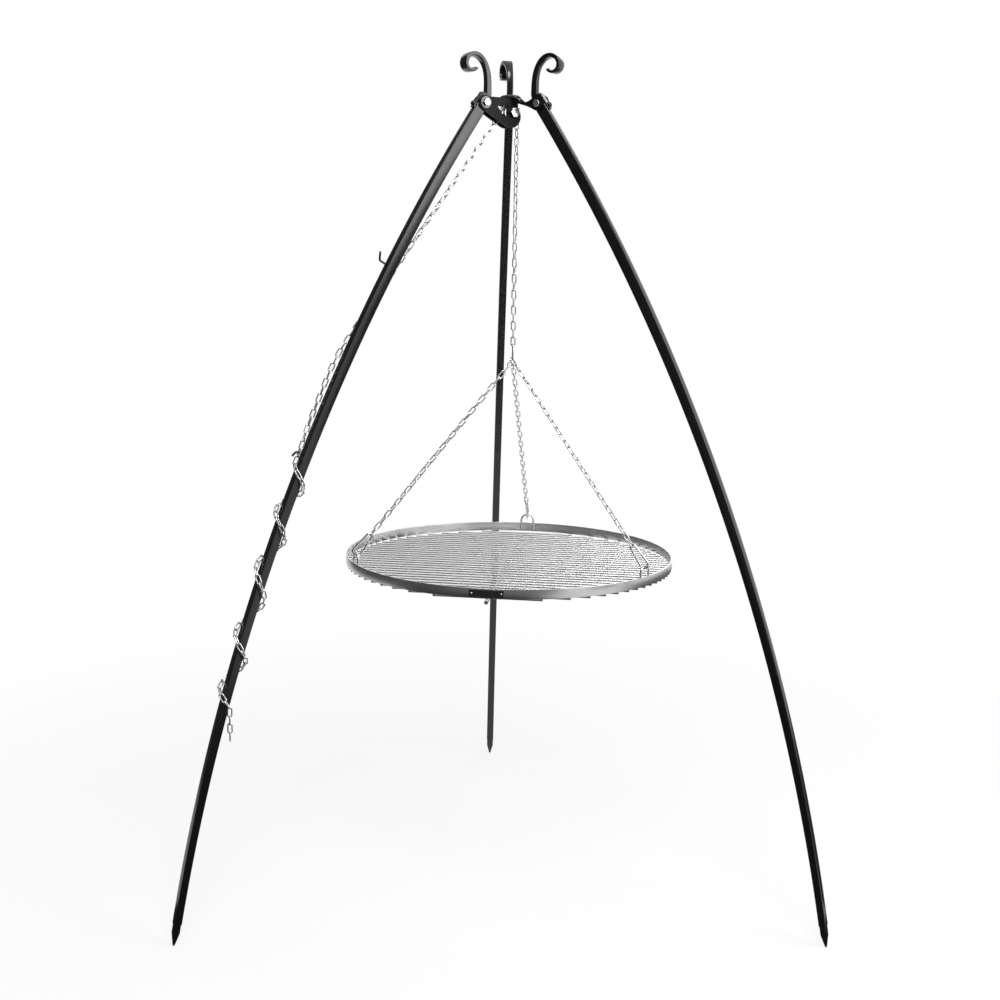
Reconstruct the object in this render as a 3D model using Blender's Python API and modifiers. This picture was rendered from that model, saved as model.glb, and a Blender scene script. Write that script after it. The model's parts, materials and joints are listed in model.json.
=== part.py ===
# Campfire tripod with a hanging grate. Metres, +Z up.
# The legs meet at a hub; a chain runs over its roller, down to the grate and down the left leg.

import math

import bmesh
import bpy
from mathutils import Matrix, Vector

for item in list(bpy.data.objects):
    bpy.data.objects.remove(item)

# Clearance left between pieces that touch
GAP = 0.0003

# Stance: the pivot bolts, and the end of each leg's tube
PIVOT_RADIUS = 0.067
PIVOT_HEIGHT = 1.654
TUBE_END_RADIUS = 0.740
TUBE_END_HEIGHT = 0.044
LEG_AZIMUTHS = {"left": 210, "right": 330, "back": 90}

# Leg tube: rectangular, bowed outward, tapering to the foot
LEG_BOW = 0.093
LEG_WIDTH = 0.0172
LEG_DEPTH_TOP = 0.0242
LEG_DEPTH_END = 0.0150
LEG_WALL = 0.0012
LEG_CORNER = 0.0028
LEG_ABOVE_PIVOT = 0.016
LEG_STATIONS = 14

# Ground spike
SPIKE_INSERT = 0.020
SPIKE_COLLAR = 0.019
SPIKE_STEP = 0.0007
SPIKE_TIP = 0.0035

# Scroll at the top of each leg
SCROLL_BAR = 0.013
SCROLL_THICK = 0.0135
SCROLL_END_THICK = 0.005
SCROLL_END_WIDTH = 0.025
SCROLL_LENGTH = 0.155
SCROLL_TURN = math.radians(330)
SCROLL_POWER = 2.4
SCROLL_KNEE = 0.012
SCROLL_STEPS = 24
# How far each scroll is wrung round its stem, in degrees: the back one's curl points a little aside
SCROLL_TWISTS = {"left": 0, "right": 0, "back": 9}
PLUG_LENGTH = 0.009

# Cap plate and its domed screw, on the outer face of the leg
CAP_LENGTH = 0.038
CAP_WIDTH = 0.014
CAP_THICK = 0.003
CAP_SCREW_DOWN = 0.014
CAP_SCREW_RADIUS = 0.0062
CAP_SCREW_HEIGHT = 0.0062
CAP_SHANK_RADIUS = 0.0024

# Pivot bolts and the roller's axle bolt
BOLT_RADIUS = 0.004
BOLT_FLATS = 0.013
BOLT_HEAD = 0.0053
NUT_HEIGHT = 0.0065
AXLE_RADIUS = 0.006
AXLE_FLATS = 0.0185
AXLE_HEAD = 0.0075
AXLE_NUT = 0.010
THREAD_PAST_NUT = 0.002
WASHER_RADIUS = 0.012
WASHER_THICK = 0.002

# Hub plates, measured from the tripod's axis and the height of the pivots
STRAP_THICK = 0.004
BOSS_RADIUS = 0.0145
ARM_TOP = 0.012
COLUMN_EDGE = -0.010
BOWL_CENTRE = (0.006, -0.024)
BOWL_RADIUS = 0.023
WINDOW = [(0.041, -0.003), (0.014, -0.003), (0.014, -0.025), (0.023, -0.025)]
STRAP_INNER = 0.012
STRAP_EAR = 0.004
CORE_RADIUS = 0.022
CORE_HEIGHT = 0.007

# Roller between the hub's cheek plates
ROLLER_DROP = 0.016
ROLLER_PITCH_RADIUS = 0.0165
ROLLER_FLANGE = 0.0185
ROLLER_FLANGE_THICK = 0.0015

# Chain
CHAIN_PITCH = 0.0165
LINK_WIDTH = 0.011
WIRE = 0.003
CHAIN_BITE = 0.0002
# Half side of a square bar with about the section of the round wire
LINK_HALF = WIRE * 0.443
# Room for a link that meets its neighbour at an angle
TURNED_LINK_EASE = 0.0012

# Hooks of round rod welded to the left leg, by their distance down the leg
HOOK_ROD = 0.0022
UPPER_HOOK_DOWN = 0.390
UPPER_HOOK_REACH = 0.018
UPPER_HOOK_TIP = 0.014
LOWER_HOOK_DOWN = 0.800
LOWER_HOOK_REACH = 0.0145
LOWER_HOOK_TIP = 0.009

# Leg chain: it passes behind the leg, then lies along the leg's outer face
PASS_START_DOWN = 0.430
PASS_END_DOWN = 0.580
CHAIN_STANDOFF = 0.0062

# Chain wrapped round the leg: distances down the leg where it passes the outer corner, turn by turn
WRAP_TURNS_DOWN = [0.911, 1.024, 1.160, 1.275, 1.368]
WRAP_LAST_PART = 0.42
WRAP_CLEARANCE = 0.0072
TAIL_LINKS = 4

# Snap hook at the end of the hanging chain
CENTRE_HOOK_TOP = 1.1685
CENTRE_HOOK_LENGTH = 0.040
CENTRE_HOOK_WIDTH = 0.0205
CENTRE_HOOK_ROD = 0.0021
# The gate's ends, as parts of the straight side that it stands in
CENTRE_GATE_TOP_PART = 0.15
CENTRE_GATE_FOOT_PART = 0.85

# Snap hooks at the grate
SNAP_LENGTH = 0.060
SNAP_WIDTH = 0.024
SNAP_TOP_WIDTH = 0.017
SNAP_ROD = 0.0025
GATE_TOP_PART = 0.21
GATE_FOOT_PART = 0.807

# Grate
GRATE_TOP = 0.7188
GRATE_TURN = -9.3
RIM_RADIUS = 0.350
RIM_HEIGHT = 0.020
RIM_THICK = 0.003
RIM_SEGMENTS = 60
ROD_RADIUS = 0.0022
ROD_PITCH = 0.022
CROSS_BAR_RADIUS = 0.004
CROSS_BAR_INSET = 0.002
WELD_DEPTH = 0.0006
BAIL_ROD = 0.0023
BAIL_HALF_WIDTH = 0.0145
BAIL_RISE = 0.0205
BAIL_LEG_DOWN = 0.015
BAIL_AZIMUTHS = [80.7, 200.7, 320.7]
# Where the back, left and right chains sit round the centre hook's bow
BOW_TILTS = [60, -4, -50]
PLATE_WIDTH = 0.068
PLATE_HEIGHT = 0.0145
PLATE_THICK = 0.001
PLATE_DROP = 0.010
RIVET_RADIUS = 0.0011
RIVET_HEAD = 0.0022
RIVET_SPREAD = 0.029

# Swinging links at the top of the hanging chain
SWING_LINKS = 2


def new_collection(name):
    collection = bpy.data.collections.new(name)
    bpy.context.scene.collection.children.link(collection)
    return collection


PARTS = new_collection("tripod_grill")
CUTTERS = new_collection("cutters")


def surface(name, colour, roughness, metallic):
    material = bpy.data.materials.new(name)
    material.use_nodes = True
    shader = material.node_tree.nodes["Principled BSDF"]
    shader.inputs["Base Color"].default_value = (*colour, 1)
    shader.inputs["Roughness"].default_value = roughness
    shader.inputs["Metallic"].default_value = metallic
    return material


BLACK = surface("black_powder_coat", (0.012, 0.012, 0.013), 0.38, 0.0)
ZINC = surface("bright_zinc", (0.72, 0.73, 0.75), 0.28, 1.0)
STEEL = surface("stainless_steel", (0.55, 0.55, 0.56), 0.32, 1.0)


def empty(name, location, parent=None, turn=0.0, axes=None):
    item = bpy.data.objects.new(name, None)
    item.location = location
    item.rotation_euler = axes.to_euler() if axes else (0, 0, turn)
    item.parent = parent
    PARTS.objects.link(item)
    return item


def add(name, shape, material, parent, matrix=Matrix()):
    """Turn a bmesh into a named object under its parent."""
    bmesh.ops.recalc_face_normals(shape, faces=shape.faces)
    mesh = bpy.data.meshes.new(name)
    shape.to_mesh(mesh)
    shape.free()
    item = bpy.data.objects.new(name, mesh)
    item.data.materials.append(material)
    item.parent = parent
    item.matrix_local = matrix
    PARTS.objects.link(item)
    return item


def helper(item):
    """Put an object that only shapes another among the cutters."""
    PARTS.objects.unlink(item)
    CUTTERS.objects.link(item)
    item.hide_render = True
    item.display_type = "WIRE"
    return item


def combine(target, other, operation):
    helper(other)
    change = target.modifiers.new(other.name, "BOOLEAN")
    change.operation = operation
    change.solver = "EXACT"
    change.object = other


def smooth(item, angle=35):
    item.data.shade_smooth()
    item.data.set_sharp_from_angle(angle=math.radians(angle))
    return item


def loft(rings, looped=False):
    """Skin a row of rings with the same number of points; cap the ends unless the row is a loop."""
    shape = bmesh.new()
    rows = [[shape.verts.new(point) for point in ring] for ring in rings]
    pairs = list(zip(rows, rows[1:]))
    if looped:
        pairs.append((rows[-1], rows[0]))
    else:
        shape.faces.new(rows[0])
        shape.faces.new(rows[-1])
    for a, b in pairs:
        for i in range(len(a)):
            j = (i + 1) % len(a)
            shape.faces.new((a[i], a[j], b[j], b[i]))
    return shape


def circle_ring(radius, y, count=16):
    turns = [2 * math.pi * i / count for i in range(count)]
    return [Vector((radius * math.cos(t), y, radius * math.sin(t))) for t in turns]


def hex_ring(flats, y):
    """A hexagon across its flats, with a point in the middle of each side."""
    ring = []
    for i in range(12):
        radius = flats / math.sqrt(3) if i % 2 == 0 else flats / 2
        ring.append(Vector((radius * math.cos(math.pi * i / 6), y, radius * math.sin(math.pi * i / 6))))
    return ring


def hex_bolt(flats, head, radius, length):
    """A bolt along Y: head from 0 to +head, shank from 0 to -length."""
    chamfer = head * 0.15
    rings = [
        hex_ring(flats * 0.92, head),
        hex_ring(flats, head - chamfer),
        hex_ring(flats, 0),
        circle_ring(radius, 0, 12),
        circle_ring(radius, -length, 12),
    ]
    return loft(rings)


def hex_nut(flats, height, bore):
    """A nut along Y, from 0 to -height."""
    rings = [
        hex_ring(flats, 0),
        hex_ring(flats, -height),
        circle_ring(bore, -height, 12),
        circle_ring(bore, 0, 12),
    ]
    return loft(rings, looped=True)


def rod_between(start, end, radius, sides=12):
    """A round cutter between two points."""
    shape = bmesh.new()
    axis = Vector(end) - Vector(start)
    turn = axis.to_track_quat("Z", "Y").to_matrix().to_4x4()
    place = Matrix.Translation((Vector(start) + Vector(end)) / 2) @ turn
    bmesh.ops.create_cone(shape, cap_ends=True, segments=sides, radius1=radius, radius2=radius,
                          depth=axis.length, matrix=place)
    return shape


def turned(name, profile, steps, material, parent, matrix, ring=False):
    """A profile of (radius, height) points, down its outer side, turned about Z; a ring's profile closes."""
    mesh = bpy.data.meshes.new(name)
    edges = [(i, i + 1) for i in range(len(profile) - 1)]
    if ring:
        edges.append((len(profile) - 1, 0))
    mesh.from_pydata([(r, 0, z) for r, z in profile], edges, [])
    item = bpy.data.objects.new(name, mesh)
    item.data.materials.append(material)
    item.parent = parent
    item.matrix_local = matrix
    PARTS.objects.link(item)
    screw = item.modifiers.new("turn", "SCREW")
    screw.steps = steps
    screw.render_steps = steps
    screw.use_merge_vertices = True
    screw.merge_threshold = 0.00001
    return item


def arc(centre, radius, start, end, count):
    """Points on an arc, angles in degrees, both ends included."""
    turns = [math.radians(start + (end - start) * i / count) for i in range(count + 1)]
    return [(centre[0] + radius * math.cos(t), centre[1] + radius * math.sin(t)) for t in turns]


def bend(start, control, end, count):
    """Points inside a quadratic curve, its ends left out."""
    points = []
    for i in range(1, count):
        u = i / count
        weights = ((1 - u) ** 2, 2 * u * (1 - u), u * u)
        x = weights[0] * start[0] + weights[1] * control[0] + weights[2] * end[0]
        z = weights[0] * start[1] + weights[1] * control[1] + weights[2] * end[1]
        points.append((x, z))
    return points


def mesh_of_curve(name, curve, material, parent, matrix):
    """Make a curve's shape into a welded mesh object, and remove the curve."""
    source = bpy.data.objects.new(name + "_curve", curve)
    PARTS.objects.link(source)
    bpy.context.view_layer.update()
    graph = bpy.context.evaluated_depsgraph_get()
    mesh = bpy.data.meshes.new_from_object(source.evaluated_get(graph))
    shape = bmesh.new()
    shape.from_mesh(mesh)
    bmesh.ops.remove_doubles(shape, verts=shape.verts, dist=0.000001)
    bpy.data.objects.remove(source)
    return add(name, shape, material, parent, matrix)


def flat_plate(name, outlines, thickness, material, parent, matrix):
    """An upright plate: (radius, height) outlines, the first one outer, thickness along Y."""
    curve = bpy.data.curves.new(name, "CURVE")
    curve.dimensions = "2D"
    curve.fill_mode = "BOTH"
    curve.extrude = thickness / 2
    for outline in outlines:
        spline = curve.splines.new("POLY")
        spline.points.add(len(outline) - 1)
        for point, place in zip(spline.points, outline):
            point.co = (place[0], place[1], 0, 1)
        spline.use_cyclic_u = True
    upright = Matrix.Rotation(math.radians(90), 4, "X")
    return mesh_of_curve(name, curve, material, parent, matrix @ upright)


def wire(name, points, radius, material, parent, shares=None):
    """A round rod through the given points, filled at its ends; shares thin it at each point."""
    curve = bpy.data.curves.new(name, "CURVE")
    curve.dimensions = "3D"
    curve.bevel_depth = radius
    curve.bevel_resolution = 2
    curve.use_fill_caps = True
    spline = curve.splines.new("POLY")
    spline.points.add(len(points) - 1)
    for point, place, share in zip(spline.points, points, shares or [1] * len(points)):
        point.co = (*place, 1)
        point.radius = share
    return smooth(mesh_of_curve(name, curve, material, parent, Matrix()))


def leg_arc():
    """The arc of a leg's centreline: its centre, radius, outward and downward directions, half angle."""
    start = Vector((0, 0, 0))
    end = Vector((TUBE_END_RADIUS - PIVOT_RADIUS, 0, TUBE_END_HEIGHT - PIVOT_HEIGHT))
    chord = (end - start).length
    along = (end - start).normalized()
    outward = Vector((-along.z, 0, along.x))
    radius = (chord ** 2 / 4 + LEG_BOW ** 2) / (2 * LEG_BOW)
    centre = (start + end) / 2 + outward * (LEG_BOW - radius)
    return centre, radius, outward, along, math.asin(chord / 2 / radius)


ARC_CENTRE, ARC_RADIUS, ARC_OUT, ARC_ALONG, ARC_HALF = leg_arc()
LEG_LENGTH = 2 * ARC_HALF * ARC_RADIUS


def leg_frame(down):
    """Centre, downward and outward directions of the leg, a distance down from its pivot."""
    turn = down / ARC_RADIUS - ARC_HALF
    outward = ARC_OUT * math.cos(turn) + ARC_ALONG * math.sin(turn)
    along = ARC_ALONG * math.cos(turn) - ARC_OUT * math.sin(turn)
    return ARC_CENTRE + outward * ARC_RADIUS, along, outward


def leg_depth(down):
    return LEG_DEPTH_TOP + (LEG_DEPTH_END - LEG_DEPTH_TOP) * down / LEG_LENGTH


def leg_place(down, out, side):
    """A point by its distance down the leg, outward from its centreline and to its +Y side."""
    centre, along, outward = leg_frame(down)
    return centre + outward * out + Vector((0, side, 0))


def block_ring(centre, outward, half_out, half_side, corner):
    """A rectangle with cut corners, square to a bar."""
    a, b, c = half_out, half_side, corner
    corners = [(a, b - c), (a - c, b), (c - a, b), (-a, b - c)]
    section = corners + [(-u, -v) for u, v in corners]
    return [centre + outward * u + Vector((0, v, 0)) for u, v in section]


def leg_tube(name, parent):
    stations = []
    for i in range(LEG_STATIONS + 1):
        stations.append(-LEG_ABOVE_PIVOT + (LEG_LENGTH + LEG_ABOVE_PIVOT) * i / LEG_STATIONS)

    def ring(down, inset):
        centre, along, outward = leg_frame(down)
        return block_ring(centre, outward, leg_depth(down) / 2 - inset, LEG_WIDTH / 2 - inset,
                          LEG_CORNER - inset * 0.8)
    rings = [ring(down, 0) for down in stations] + [ring(down, LEG_WALL) for down in reversed(stations)]
    tube = add(name, loft(rings, looped=True), BLACK, parent)
    bolt_hole = rod_between((0, -LEG_WIDTH, 0), (0, LEG_WIDTH, 0), BOLT_RADIUS + GAP, 16)
    combine(tube, add(name + "_bolt_hole", bolt_hole, BLACK, parent), "DIFFERENCE")
    screw_hole = rod_between(leg_place(CAP_SCREW_DOWN, 0.004, 0), leg_place(CAP_SCREW_DOWN, 0.030, 0),
                             CAP_SHANK_RADIUS + GAP)
    combine(tube, add(name + "_screw_hole", screw_hole, BLACK, parent), "DIFFERENCE")
    return tube


def leg_spike(name, parent):
    """A plug in the end of the tube, a square collar below it and a point."""
    inset = LEG_WALL + GAP
    centre, along, outward = leg_frame(LEG_LENGTH)
    drop = TUBE_END_HEIGHT / -along.z

    def ring(down, half_out, half_side, corner):
        return block_ring(centre + along * down, outward, half_out, half_side, corner)
    deep, wide = LEG_DEPTH_END / 2, LEG_WIDTH / 2
    rings = [
        ring(-SPIKE_INSERT, deep - inset - GAP, wide - inset - GAP, LEG_CORNER),
        ring(GAP, deep - inset, wide - inset, LEG_CORNER),
        ring(GAP, deep - SPIKE_STEP, wide - SPIKE_STEP, LEG_CORNER),
        ring(SPIKE_COLLAR, deep - SPIKE_STEP, wide - SPIKE_STEP, LEG_CORNER),
    ]
    tip = centre + along * drop
    rings.append(block_ring(tip, Vector((1, 0, 0)), SPIKE_TIP / 2, SPIKE_TIP / 2, SPIKE_TIP / 5))
    return add(name, loft(rings), BLACK, parent)


def wrung(rings, axis, degrees):
    """Turn rings about an upright axis, more from ring to ring until the full turn is reached."""
    turned_rings = []
    for i, points in enumerate(rings):
        ease = min(1.0, i / SCROLL_STEPS * 4)
        turn = Matrix.Rotation(math.radians(degrees) * ease, 3, "Z")
        turned_rings.append([axis + turn @ (point - axis) for point in points])
    return turned_rings


def scroll_rings(twist):
    """Rounded sections along the scroll, from the plug in the tube to its end."""
    def heading_ring(point, heading, thick, width):
        outward = Vector((math.sin(heading), 0, -math.cos(heading)))
        return block_ring(point, outward, thick / 2, width / 2, min(thick, width) * 0.12)
    top, along, outward = leg_frame(-LEG_ABOVE_PIVOT)
    start_heading = math.atan2(-along.z, -along.x)
    plug_depth = leg_depth(0) - 2 * (LEG_WALL + GAP)
    rings = [
        heading_ring(top + along * PLUG_LENGTH, start_heading, plug_depth, SCROLL_BAR),
        heading_ring(top - along * GAP, start_heading, plug_depth, SCROLL_BAR),
        heading_ring(top - along * GAP, start_heading, SCROLL_THICK, SCROLL_BAR * 0.98),
    ]
    point, heading = top - along * GAP, start_heading
    knee_steps = 3
    knee_turn = start_heading - math.pi / 2
    for i in range(knee_steps):
        heading -= knee_turn / knee_steps / 2
        ahead = Vector((math.cos(heading), 0, math.sin(heading)))
        point = point + ahead * SCROLL_KNEE * knee_turn / knee_steps
        heading -= knee_turn / knee_steps / 2
        rings.append(heading_ring(point, heading, SCROLL_THICK, SCROLL_BAR))
    stem, knee_end = len(rings), point
    step = SCROLL_LENGTH / SCROLL_STEPS
    for i in range(SCROLL_STEPS):
        middle = (i + 0.5) / SCROLL_STEPS
        end = (i + 1) / SCROLL_STEPS
        heading = math.pi / 2 - SCROLL_TURN * middle ** SCROLL_POWER
        point = point + Vector((math.cos(heading), 0, math.sin(heading))) * step
        heading = math.pi / 2 - SCROLL_TURN * end ** SCROLL_POWER
        thick = SCROLL_THICK + (SCROLL_END_THICK - SCROLL_THICK) * end
        flare = max(0.0, min(1.0, (end - 0.3) / 0.45))
        flare = flare * flare * (3 - 2 * flare)
        width = SCROLL_BAR + (SCROLL_END_WIDTH - SCROLL_BAR) * flare
        rings.append(heading_ring(point, heading, thick, width))
    return rings[:stem] + wrung(rings[stem:], knee_end, twist)


def outer_face_matrix(down, lift):
    """A frame on the leg's outer face: X down the leg, Y to its side, Z outward."""
    centre, along, outward = leg_frame(down)
    place = centre + outward * (leg_depth(down) / 2 + lift)
    axes = Matrix((along, Vector((0, 0, 0)) + outward.cross(along), outward)).transposed()
    return Matrix.Translation(place) @ axes.to_4x4()


def cap_plate(name, parent):
    shape = bmesh.new()
    bmesh.ops.create_cube(shape, size=1, matrix=Matrix.Diagonal((CAP_LENGTH, CAP_WIDTH, CAP_THICK, 1)))
    middle = CAP_LENGTH / 2 - LEG_ABOVE_PIVOT
    plate = add(name, shape, BLACK, parent, outer_face_matrix(middle, GAP + CAP_THICK / 2))
    edge = plate.modifiers.new("edge", "BEVEL")
    edge.width = 0.0008
    edge.segments = 1
    hole = rod_between(leg_place(CAP_SCREW_DOWN, 0.004, 0), leg_place(CAP_SCREW_DOWN, 0.030, 0),
                       CAP_SHANK_RADIUS + GAP)
    combine(plate, add(name + "_hole", hole, BLACK, parent), "DIFFERENCE")
    return plate


def cap_screw(name, parent):
    """A domed head on the cap plate, its shank through the plate and the tube's wall."""
    under = 2 * GAP + CAP_THICK
    shank = under + LEG_WALL + THREAD_PAST_NUT
    dome = []
    for i in range(5):
        turn = math.pi / 2 * (1 - i / 4)
        dome.append((CAP_SCREW_RADIUS * math.cos(turn), CAP_SCREW_HEIGHT * math.sin(turn)))
    dome[0] = (0, CAP_SCREW_HEIGHT)
    profile = dome + [(CAP_SHANK_RADIUS, 0), (CAP_SHANK_RADIUS, -shank), (0, -shank)]
    return turned(name, profile, 10, BLACK, parent, outer_face_matrix(CAP_SCREW_DOWN, under))


ORIGIN = empty("tripod_origin", (0, 0, 0))
HINGES = {}
PLANES = {}
for side, azimuth in LEG_AZIMUTHS.items():
    turn = math.radians(azimuth)
    place = (PIVOT_RADIUS * math.cos(turn), PIVOT_RADIUS * math.sin(turn), PIVOT_HEIGHT)
    HINGES[side] = empty(side + "_leg_hinge", place, ORIGIN, turn)
    PLANES[side] = empty(side + "_hub_plane", (0, 0, PIVOT_HEIGHT), ORIGIN, turn)

# Legs. A bolt's head faces the front: +Y of the left and back planes, -Y of the right one
BOLT_SIDES = {"left": 1, "right": -1, "back": 1}
STRAP_IN = LEG_WIDTH / 2 + GAP
STRAP_OUT = STRAP_IN + STRAP_THICK


def pivot_bolt(side):
    """The pivot bolt and nut of one leg, along the leg's Y, with a washer on the left leg."""
    facing = Matrix() if BOLT_SIDES[side] > 0 else Matrix.Rotation(math.pi, 4, "Z")
    washer = WASHER_THICK + GAP if side == "left" else 0
    seat = STRAP_OUT + GAP + washer
    at = Matrix.Translation((PIVOT_RADIUS, 0, 0)) @ facing
    length = seat + STRAP_OUT + GAP + NUT_HEIGHT + THREAD_PAST_NUT
    bolt = hex_bolt(BOLT_FLATS, BOLT_HEAD, BOLT_RADIUS, length)
    add(side + "_pivot_bolt", bolt, ZINC, PLANES[side], at @ Matrix.Translation((0, seat, 0)))
    nut = hex_nut(BOLT_FLATS, NUT_HEIGHT, BOLT_RADIUS + GAP)
    add(side + "_pivot_nut", nut, ZINC, PLANES[side], at @ Matrix.Translation((0, -STRAP_OUT - GAP, 0)))
    if washer:
        inner = BOLT_RADIUS + GAP
        near = STRAP_OUT + GAP
        rings = [
            circle_ring(WASHER_RADIUS, near + WASHER_THICK, 20),
            circle_ring(WASHER_RADIUS, near, 20),
            circle_ring(inner, near, 20),
            circle_ring(inner, near + WASHER_THICK, 20),
        ]
        add("left_pivot_washer", loft(rings, looped=True), ZINC, PLANES[side], at)


for side in LEG_AZIMUTHS:
    leg_tube(side + "_leg", HINGES[side])
    leg_spike(side + "_spike", HINGES[side])
    add(side + "_scroll", loft(scroll_rings(SCROLL_TWISTS[side])), BLACK, HINGES[side])
    cap_plate(side + "_cap_plate", HINGES[side])
    cap_screw(side + "_cap_screw", HINGES[side])
    pivot_bolt(side)

# Hub
ROLLER_CENTRE = Vector((0, 0, -ROLLER_DROP))


def cheek_outlines():
    """Cheek plate of the left leg: boss, upper arm, column, round bowl and slanting lower arm."""
    boss = (PIVOT_RADIUS, 0)
    apart = Vector((boss[0] - BOWL_CENTRE[0], boss[1] - BOWL_CENTRE[1]))
    lean = math.degrees(math.atan2(apart.y, apart.x))
    lower = lean - math.degrees(math.acos((BOWL_RADIUS - BOSS_RADIUS) / apart.length))
    arm_meets_boss = math.degrees(math.acos(-math.sqrt(1 - (ARM_TOP / BOSS_RADIUS) ** 2)))
    column_meets_bowl = math.degrees(math.acos((COLUMN_EDGE - BOWL_CENTRE[0]) / BOWL_RADIUS)) - 360
    outer = [(COLUMN_EDGE, ARM_TOP)]
    outer += arc(boss, BOSS_RADIUS, arm_meets_boss, lower, 16)
    outer += arc(BOWL_CENTRE, BOWL_RADIUS, lower, column_meets_bowl, 14)
    bolt = arc(boss, BOLT_RADIUS + GAP, 0, 330, 11)
    axle = arc((0, -ROLLER_DROP), AXLE_RADIUS + GAP, 0, 337.5, 15)
    return [outer, WINDOW, bolt, axle]


def fork_outlines():
    """Fork strap of the right and back legs: thin in the middle, with a tall boss."""
    top = ARM_TOP - GAP
    boss = (PIVOT_RADIUS, 0)
    ear = arc((PIVOT_RADIUS, STRAP_EAR), BOSS_RADIUS, 160, 0, 8)
    under = arc(boss, BOSS_RADIUS, 0, -110, 8)
    flat_end = (STRAP_INNER + 0.008, top)
    foot = (STRAP_INNER, 0.003)
    outer = [foot, (STRAP_INNER, top), flat_end]
    outer += bend(flat_end, (0.036, -0.004), ear[0], 6)
    outer += ear + under
    outer += bend(under[-1], (0.044, -0.003), foot, 5)
    return [outer, arc(boss, BOLT_RADIUS + GAP, 0, 330, 11)]


def across(offset):
    return Matrix.Translation((0, offset, 0))


MIDDLE = (STRAP_IN + STRAP_OUT) / 2
flat_plate("hub_front_cheek", cheek_outlines(), STRAP_THICK, BLACK, PLANES["left"], across(MIDDLE))
flat_plate("hub_rear_cheek", cheek_outlines(), STRAP_THICK, BLACK, PLANES["left"], across(-MIDDLE))
for side in ("right", "back"):
    for label, offset in (("a", MIDDLE), ("b", -MIDDLE)):
        flat_plate(f"{side}_fork_strap_{label}", fork_outlines(), STRAP_THICK, BLACK, PLANES[side],
                   across(offset))

core_profile = [(0, CORE_HEIGHT), (0.012, CORE_HEIGHT * 0.97), (0.019, CORE_HEIGHT * 0.76),
                (CORE_RADIUS, CORE_HEIGHT * 0.36), (CORE_RADIUS, 0), (0, 0)]
turned("hub_core", core_profile, 24, BLACK, PLANES["left"], Matrix.Translation((0, 0, ARM_TOP + GAP)))

axle_seat = STRAP_OUT + GAP
axle_length = 2 * axle_seat + AXLE_NUT + THREAD_PAST_NUT
at_axle = Matrix.Translation(ROLLER_CENTRE)
axle_bolt = hex_bolt(AXLE_FLATS, AXLE_HEAD, AXLE_RADIUS, axle_length)
add("axle_bolt", axle_bolt, ZINC, PLANES["left"], at_axle @ across(axle_seat))
axle_nut = hex_nut(AXLE_FLATS, AXLE_NUT, AXLE_RADIUS + GAP)
add("axle_nut", axle_nut, ZINC, PLANES["left"], at_axle @ across(-axle_seat))


def roller():
    """A spool: shoulders for the links that lie flat, a groove for the ones on edge."""
    middle = math.sqrt(ROLLER_PITCH_RADIUS ** 2 - (CHAIN_PITCH / 2) ** 2)
    shoulder = middle - WIRE / 2 - GAP
    groove = middle - LINK_WIDTH / 2 - GAP
    bore = AXLE_RADIUS + GAP
    half = STRAP_IN - GAP - 0.0001
    groove_half = WIRE / 2 + 0.0006
    inner = half - ROLLER_FLANGE_THICK
    profile = [
        (bore, half), (ROLLER_FLANGE, half), (ROLLER_FLANGE, inner), (shoulder, inner - 0.0003),
        (shoulder, groove_half), (groove, groove_half - 0.0003), (groove, 0.0003 - groove_half),
        (shoulder, -groove_half), (shoulder, 0.0003 - inner), (ROLLER_FLANGE, -inner),
        (ROLLER_FLANGE, -half), (bore, -half),
    ]
    axis_along_y = at_axle @ Matrix.Rotation(math.radians(-90), 4, "X")
    return turned("chain_roller", profile, 18, ZINC, PLANES["left"], axis_along_y, ring=True)


roller()


# Chain
def link_rings(start, end, wide, start_in, end_in):
    """Rings of a link's wire, round the link. Its bows lie past start and end, less the given bites."""
    along = (end - start).normalized()
    wide = (wide - along * wide.dot(along)).normalized()
    normal = along.cross(wide)
    half = LINK_HALF
    tip_a = start + along * (start_in - half)
    tip_b = end - along * (end_in - half)
    reach = LINK_WIDTH / 2 - half
    loop = [tip_a - wide * reach, tip_a + wide * reach, tip_b + wide * reach, tip_b - wide * reach]
    rings = []
    for i, point in enumerate(loop):
        before = (point - loop[i - 1]).normalized()
        after = (loop[(i + 1) % len(loop)] - point).normalized()
        side = (before + after).normalized().cross(normal)
        to_side = side * half * math.sqrt(2)
        to_face = normal * half
        rings.append([point + to_side * a + to_face * b for a, b in ((1, 1), (1, -1), (-1, -1), (-1, 1))])
    return rings


def twist_steps(directions, first_wide, last_wide):
    """The wide direction of each link: a quarter turn from link to link, eased to meet the last one."""
    wide = (first_wide - directions[0] * first_wide.dot(directions[0])).normalized()
    carried = [wide]
    for a, b in zip(directions, directions[1:]):
        turn = a.rotation_difference(b)
        carried.append(turn @ carried[-1])
    count = len(directions)
    ease = 0.0
    if last_wide is not None and count > 1:
        end = last_wide - directions[-1] * last_wide.dot(directions[-1])
        angle = math.atan2(directions[-1].dot(carried[-1].cross(end)), carried[-1].dot(end))
        spare = angle - math.pi / 2 * (count - 1)
        ease = (spare + math.pi / 2) % math.pi - math.pi / 2
    result = []
    for i, (direction, base) in enumerate(zip(directions, carried)):
        share = i / (count - 1) if count > 1 else 0
        turn = math.pi / 2 * i + ease * share
        result.append(Matrix.Rotation(turn, 3, direction) @ base)
    return result


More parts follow.
